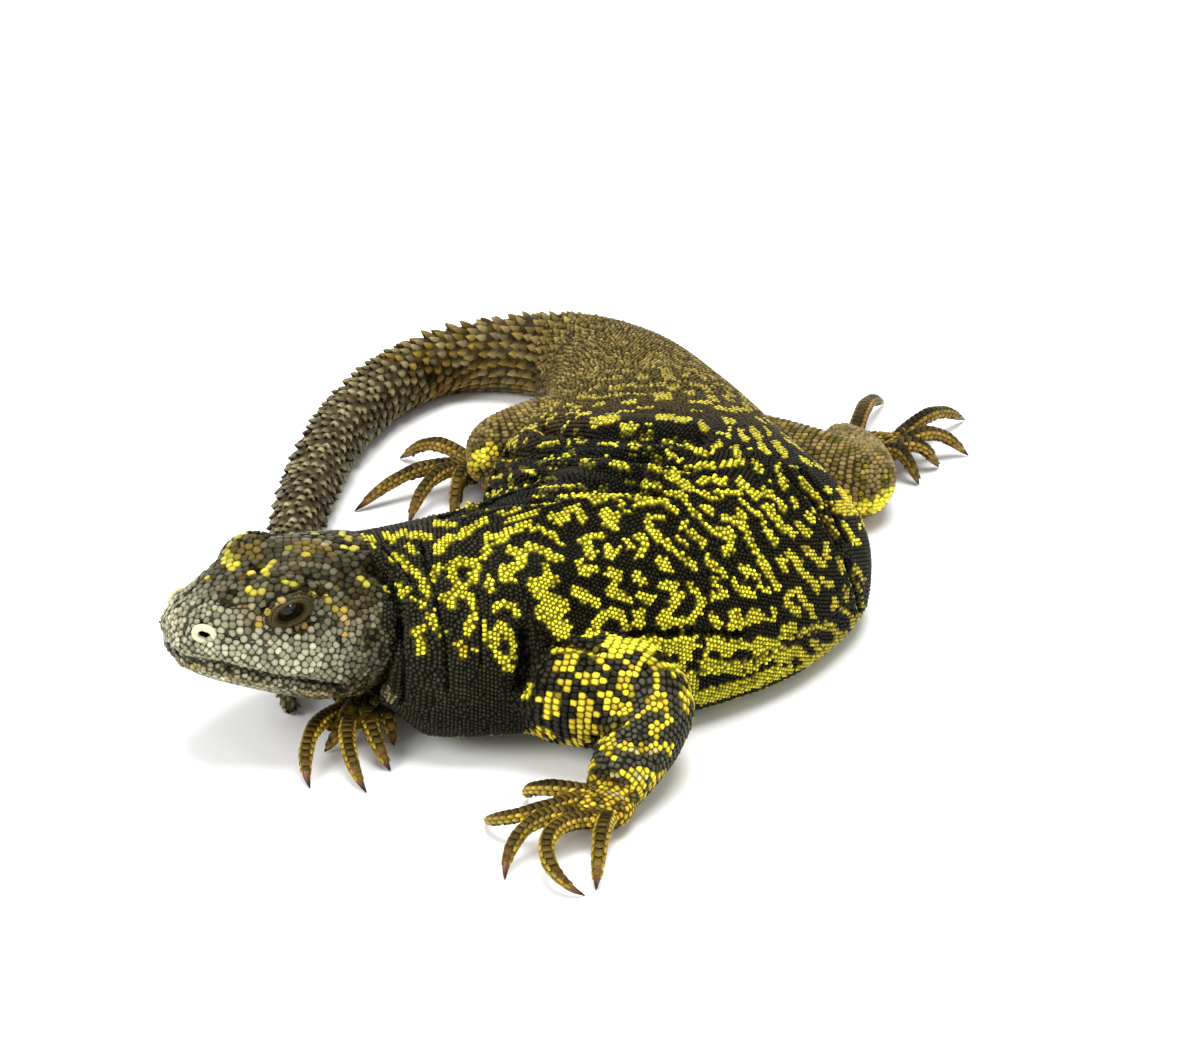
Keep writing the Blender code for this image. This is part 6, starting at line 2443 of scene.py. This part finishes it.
@dataclass
class Nostrils(Assembly):
    """The pale rims round the nostrils."""

    radius: float = 0.74
    squash: float = 0.12
    section: tuple[float, float] = (0.33, 0.36)
    stand: float = 0.42
    around: int = 32
    corners: int = 14

    def build(self) -> list[bpy.types.Object]:
        """Makes one rim on each side.

        Returns:
            The rims.
        """
        return [self._rim(side, sign) for side, sign in SIDES]

    def _rim(self, side: str, sign: float) -> bpy.types.Object:
        """Makes one rim.

        Args:
            side: The side of the head.
            sign: 1 for the left side and -1 for the right.

        Returns:
            The rim.
        """
        _, forward, left, _ = self.animal.head.axes()
        out = unit(left * sign + forward * 0.45)
        fore = unit(forward - out * (forward @ out))
        rise = np.cross(out, fore) * sign
        place = self.animal.head.nostril(sign) - forward * 0.1 + out * self.stand
        turn, corner = circle(self.around), circle(self.corners)
        grid = np.empty((self.around, self.corners, 3))
        for k, t in enumerate(turn):
            away = fore * math.cos(t) + rise * math.sin(t)
            reach = self.radius + self.squash * math.cos(t * 2 + 0.5) + np.cos(corner) * self.section[0]
            grid[k] = place + np.outer(reach, away) + np.outer(np.sin(corner) * self.section[1], out)
        grid = np.concatenate([grid, grid[:1]])
        rim = self.grid(f"nostril_{side}", grid, np.linspace(0, 1, self.around + 1), caps=False)
        put_markings_and_shade(rim.data, np.tile([0.0, 0.05, 0.95, 0.85], (len(rim.data.vertices), 1)))
        return wear(rim, self.finishes.scales, "head_scales")


@dataclass(frozen=True)
class Lamp:
    """One soft, round light that looks at the animal. Its place and breadth are in metres, its power in watts."""

    name: str
    place: tuple[float, float, float]
    size: float
    power: float

    def hang(self) -> None:
        """Adds the light to the scene."""
        data = bpy.data.lights.new(self.name, "AREA")
        data.shape, data.size, data.energy = "DISK", self.size, self.power
        light = bpy.data.objects.new(self.name, data)
        light.location = self.place
        light.rotation_euler = Vector(self.place).to_track_quat("Z", "Y").to_euler()
        bpy.context.scene.collection.objects.link(light)


@dataclass
class Studio:
    """The floor, the lights and the camera."""

    animal: Animal
    view: Viewpoint
    lamps: tuple[Lamp, ...] = (
        Lamp("softbox_above", (0.05, 0.02, 0.75), 0.5, 7.0),
        Lamp("softbox_left", (-0.5, -0.3, 0.4), 0.35, 3.6),
        Lamp("softbox_front", (0.476, -0.508, 0.08), 0.14, 1.5),
    )
    ambient: float = 0.6
    half: float = 0.9
    steps: int = 12
    sensor: float = 36.0
    frame_width: float = 1200.0

    def build(self) -> list[bpy.types.Object]:
        """Makes the floor, the lights, the world and the camera.

        Returns:
            The floor.
        """
        data = bpy.data.meshes.new("floor")
        line, wide = np.linspace(-self.half, self.half, self.steps + 1), self.steps + 1
        starts = [row * wide + k for row in range(self.steps) for k in range(self.steps)]
        faces = [(start, start + 1, start + wide + 1, start + wide) for start in starts]
        data.from_pydata([(x, y, -0.00002) for y in line for x in line], [], faces)
        data.materials.append(StageFinish().material())
        floor = link("floor", data)
        for lamp in self.lamps:
            lamp.hang()
        world = bpy.data.worlds.new("studio")
        world.use_nodes = True
        background = world.node_tree.nodes["Background"]
        background.inputs["Color"].default_value = (1.0, 1.0, 1.0, 1.0)
        background.inputs["Strength"].default_value = self.ambient
        bpy.context.scene.world = world
        bpy.context.scene.view_settings.view_transform = "Standard"
        self._camera()
        return [floor]

    def _camera(self) -> None:
        """Adds the camera where the photograph's stood."""
        data = bpy.data.cameras.new("camera")
        data.sensor_width = self.sensor
        data.lens = self.sensor * self.view.focal / self.frame_width
        data.clip_start, data.clip_end = 0.01, 10.0
        camera = bpy.data.objects.new("camera", data)
        camera.location = self.animal.metres(self.view.place())
        camera.rotation_euler = (math.radians(90.0 - self.view.elevation), 0.0, 0.0)
        bpy.context.scene.collection.objects.link(camera)
        bpy.context.scene.camera = camera


def main() -> None:
    """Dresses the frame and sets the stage."""
    logging.basicConfig(level=logging.INFO, format="%(message)s")
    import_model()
    animal, view, finishes = Animal.from_frame(), Viewpoint(), Finishes()
    assemblies = (
        Coat(animal, finishes, view),
        Eyes(animal, finishes),
        Claws(animal, finishes),
        ToeBands(animal, finishes),
        Nostrils(animal, finishes),
        Studio(animal, view),
    )
    for assembly in assemblies:
        for piece in assembly.build():
            LOG.info("%s: %d faces", piece.name, len(piece.data.polygons))


if __name__ == "__main__":
    main()
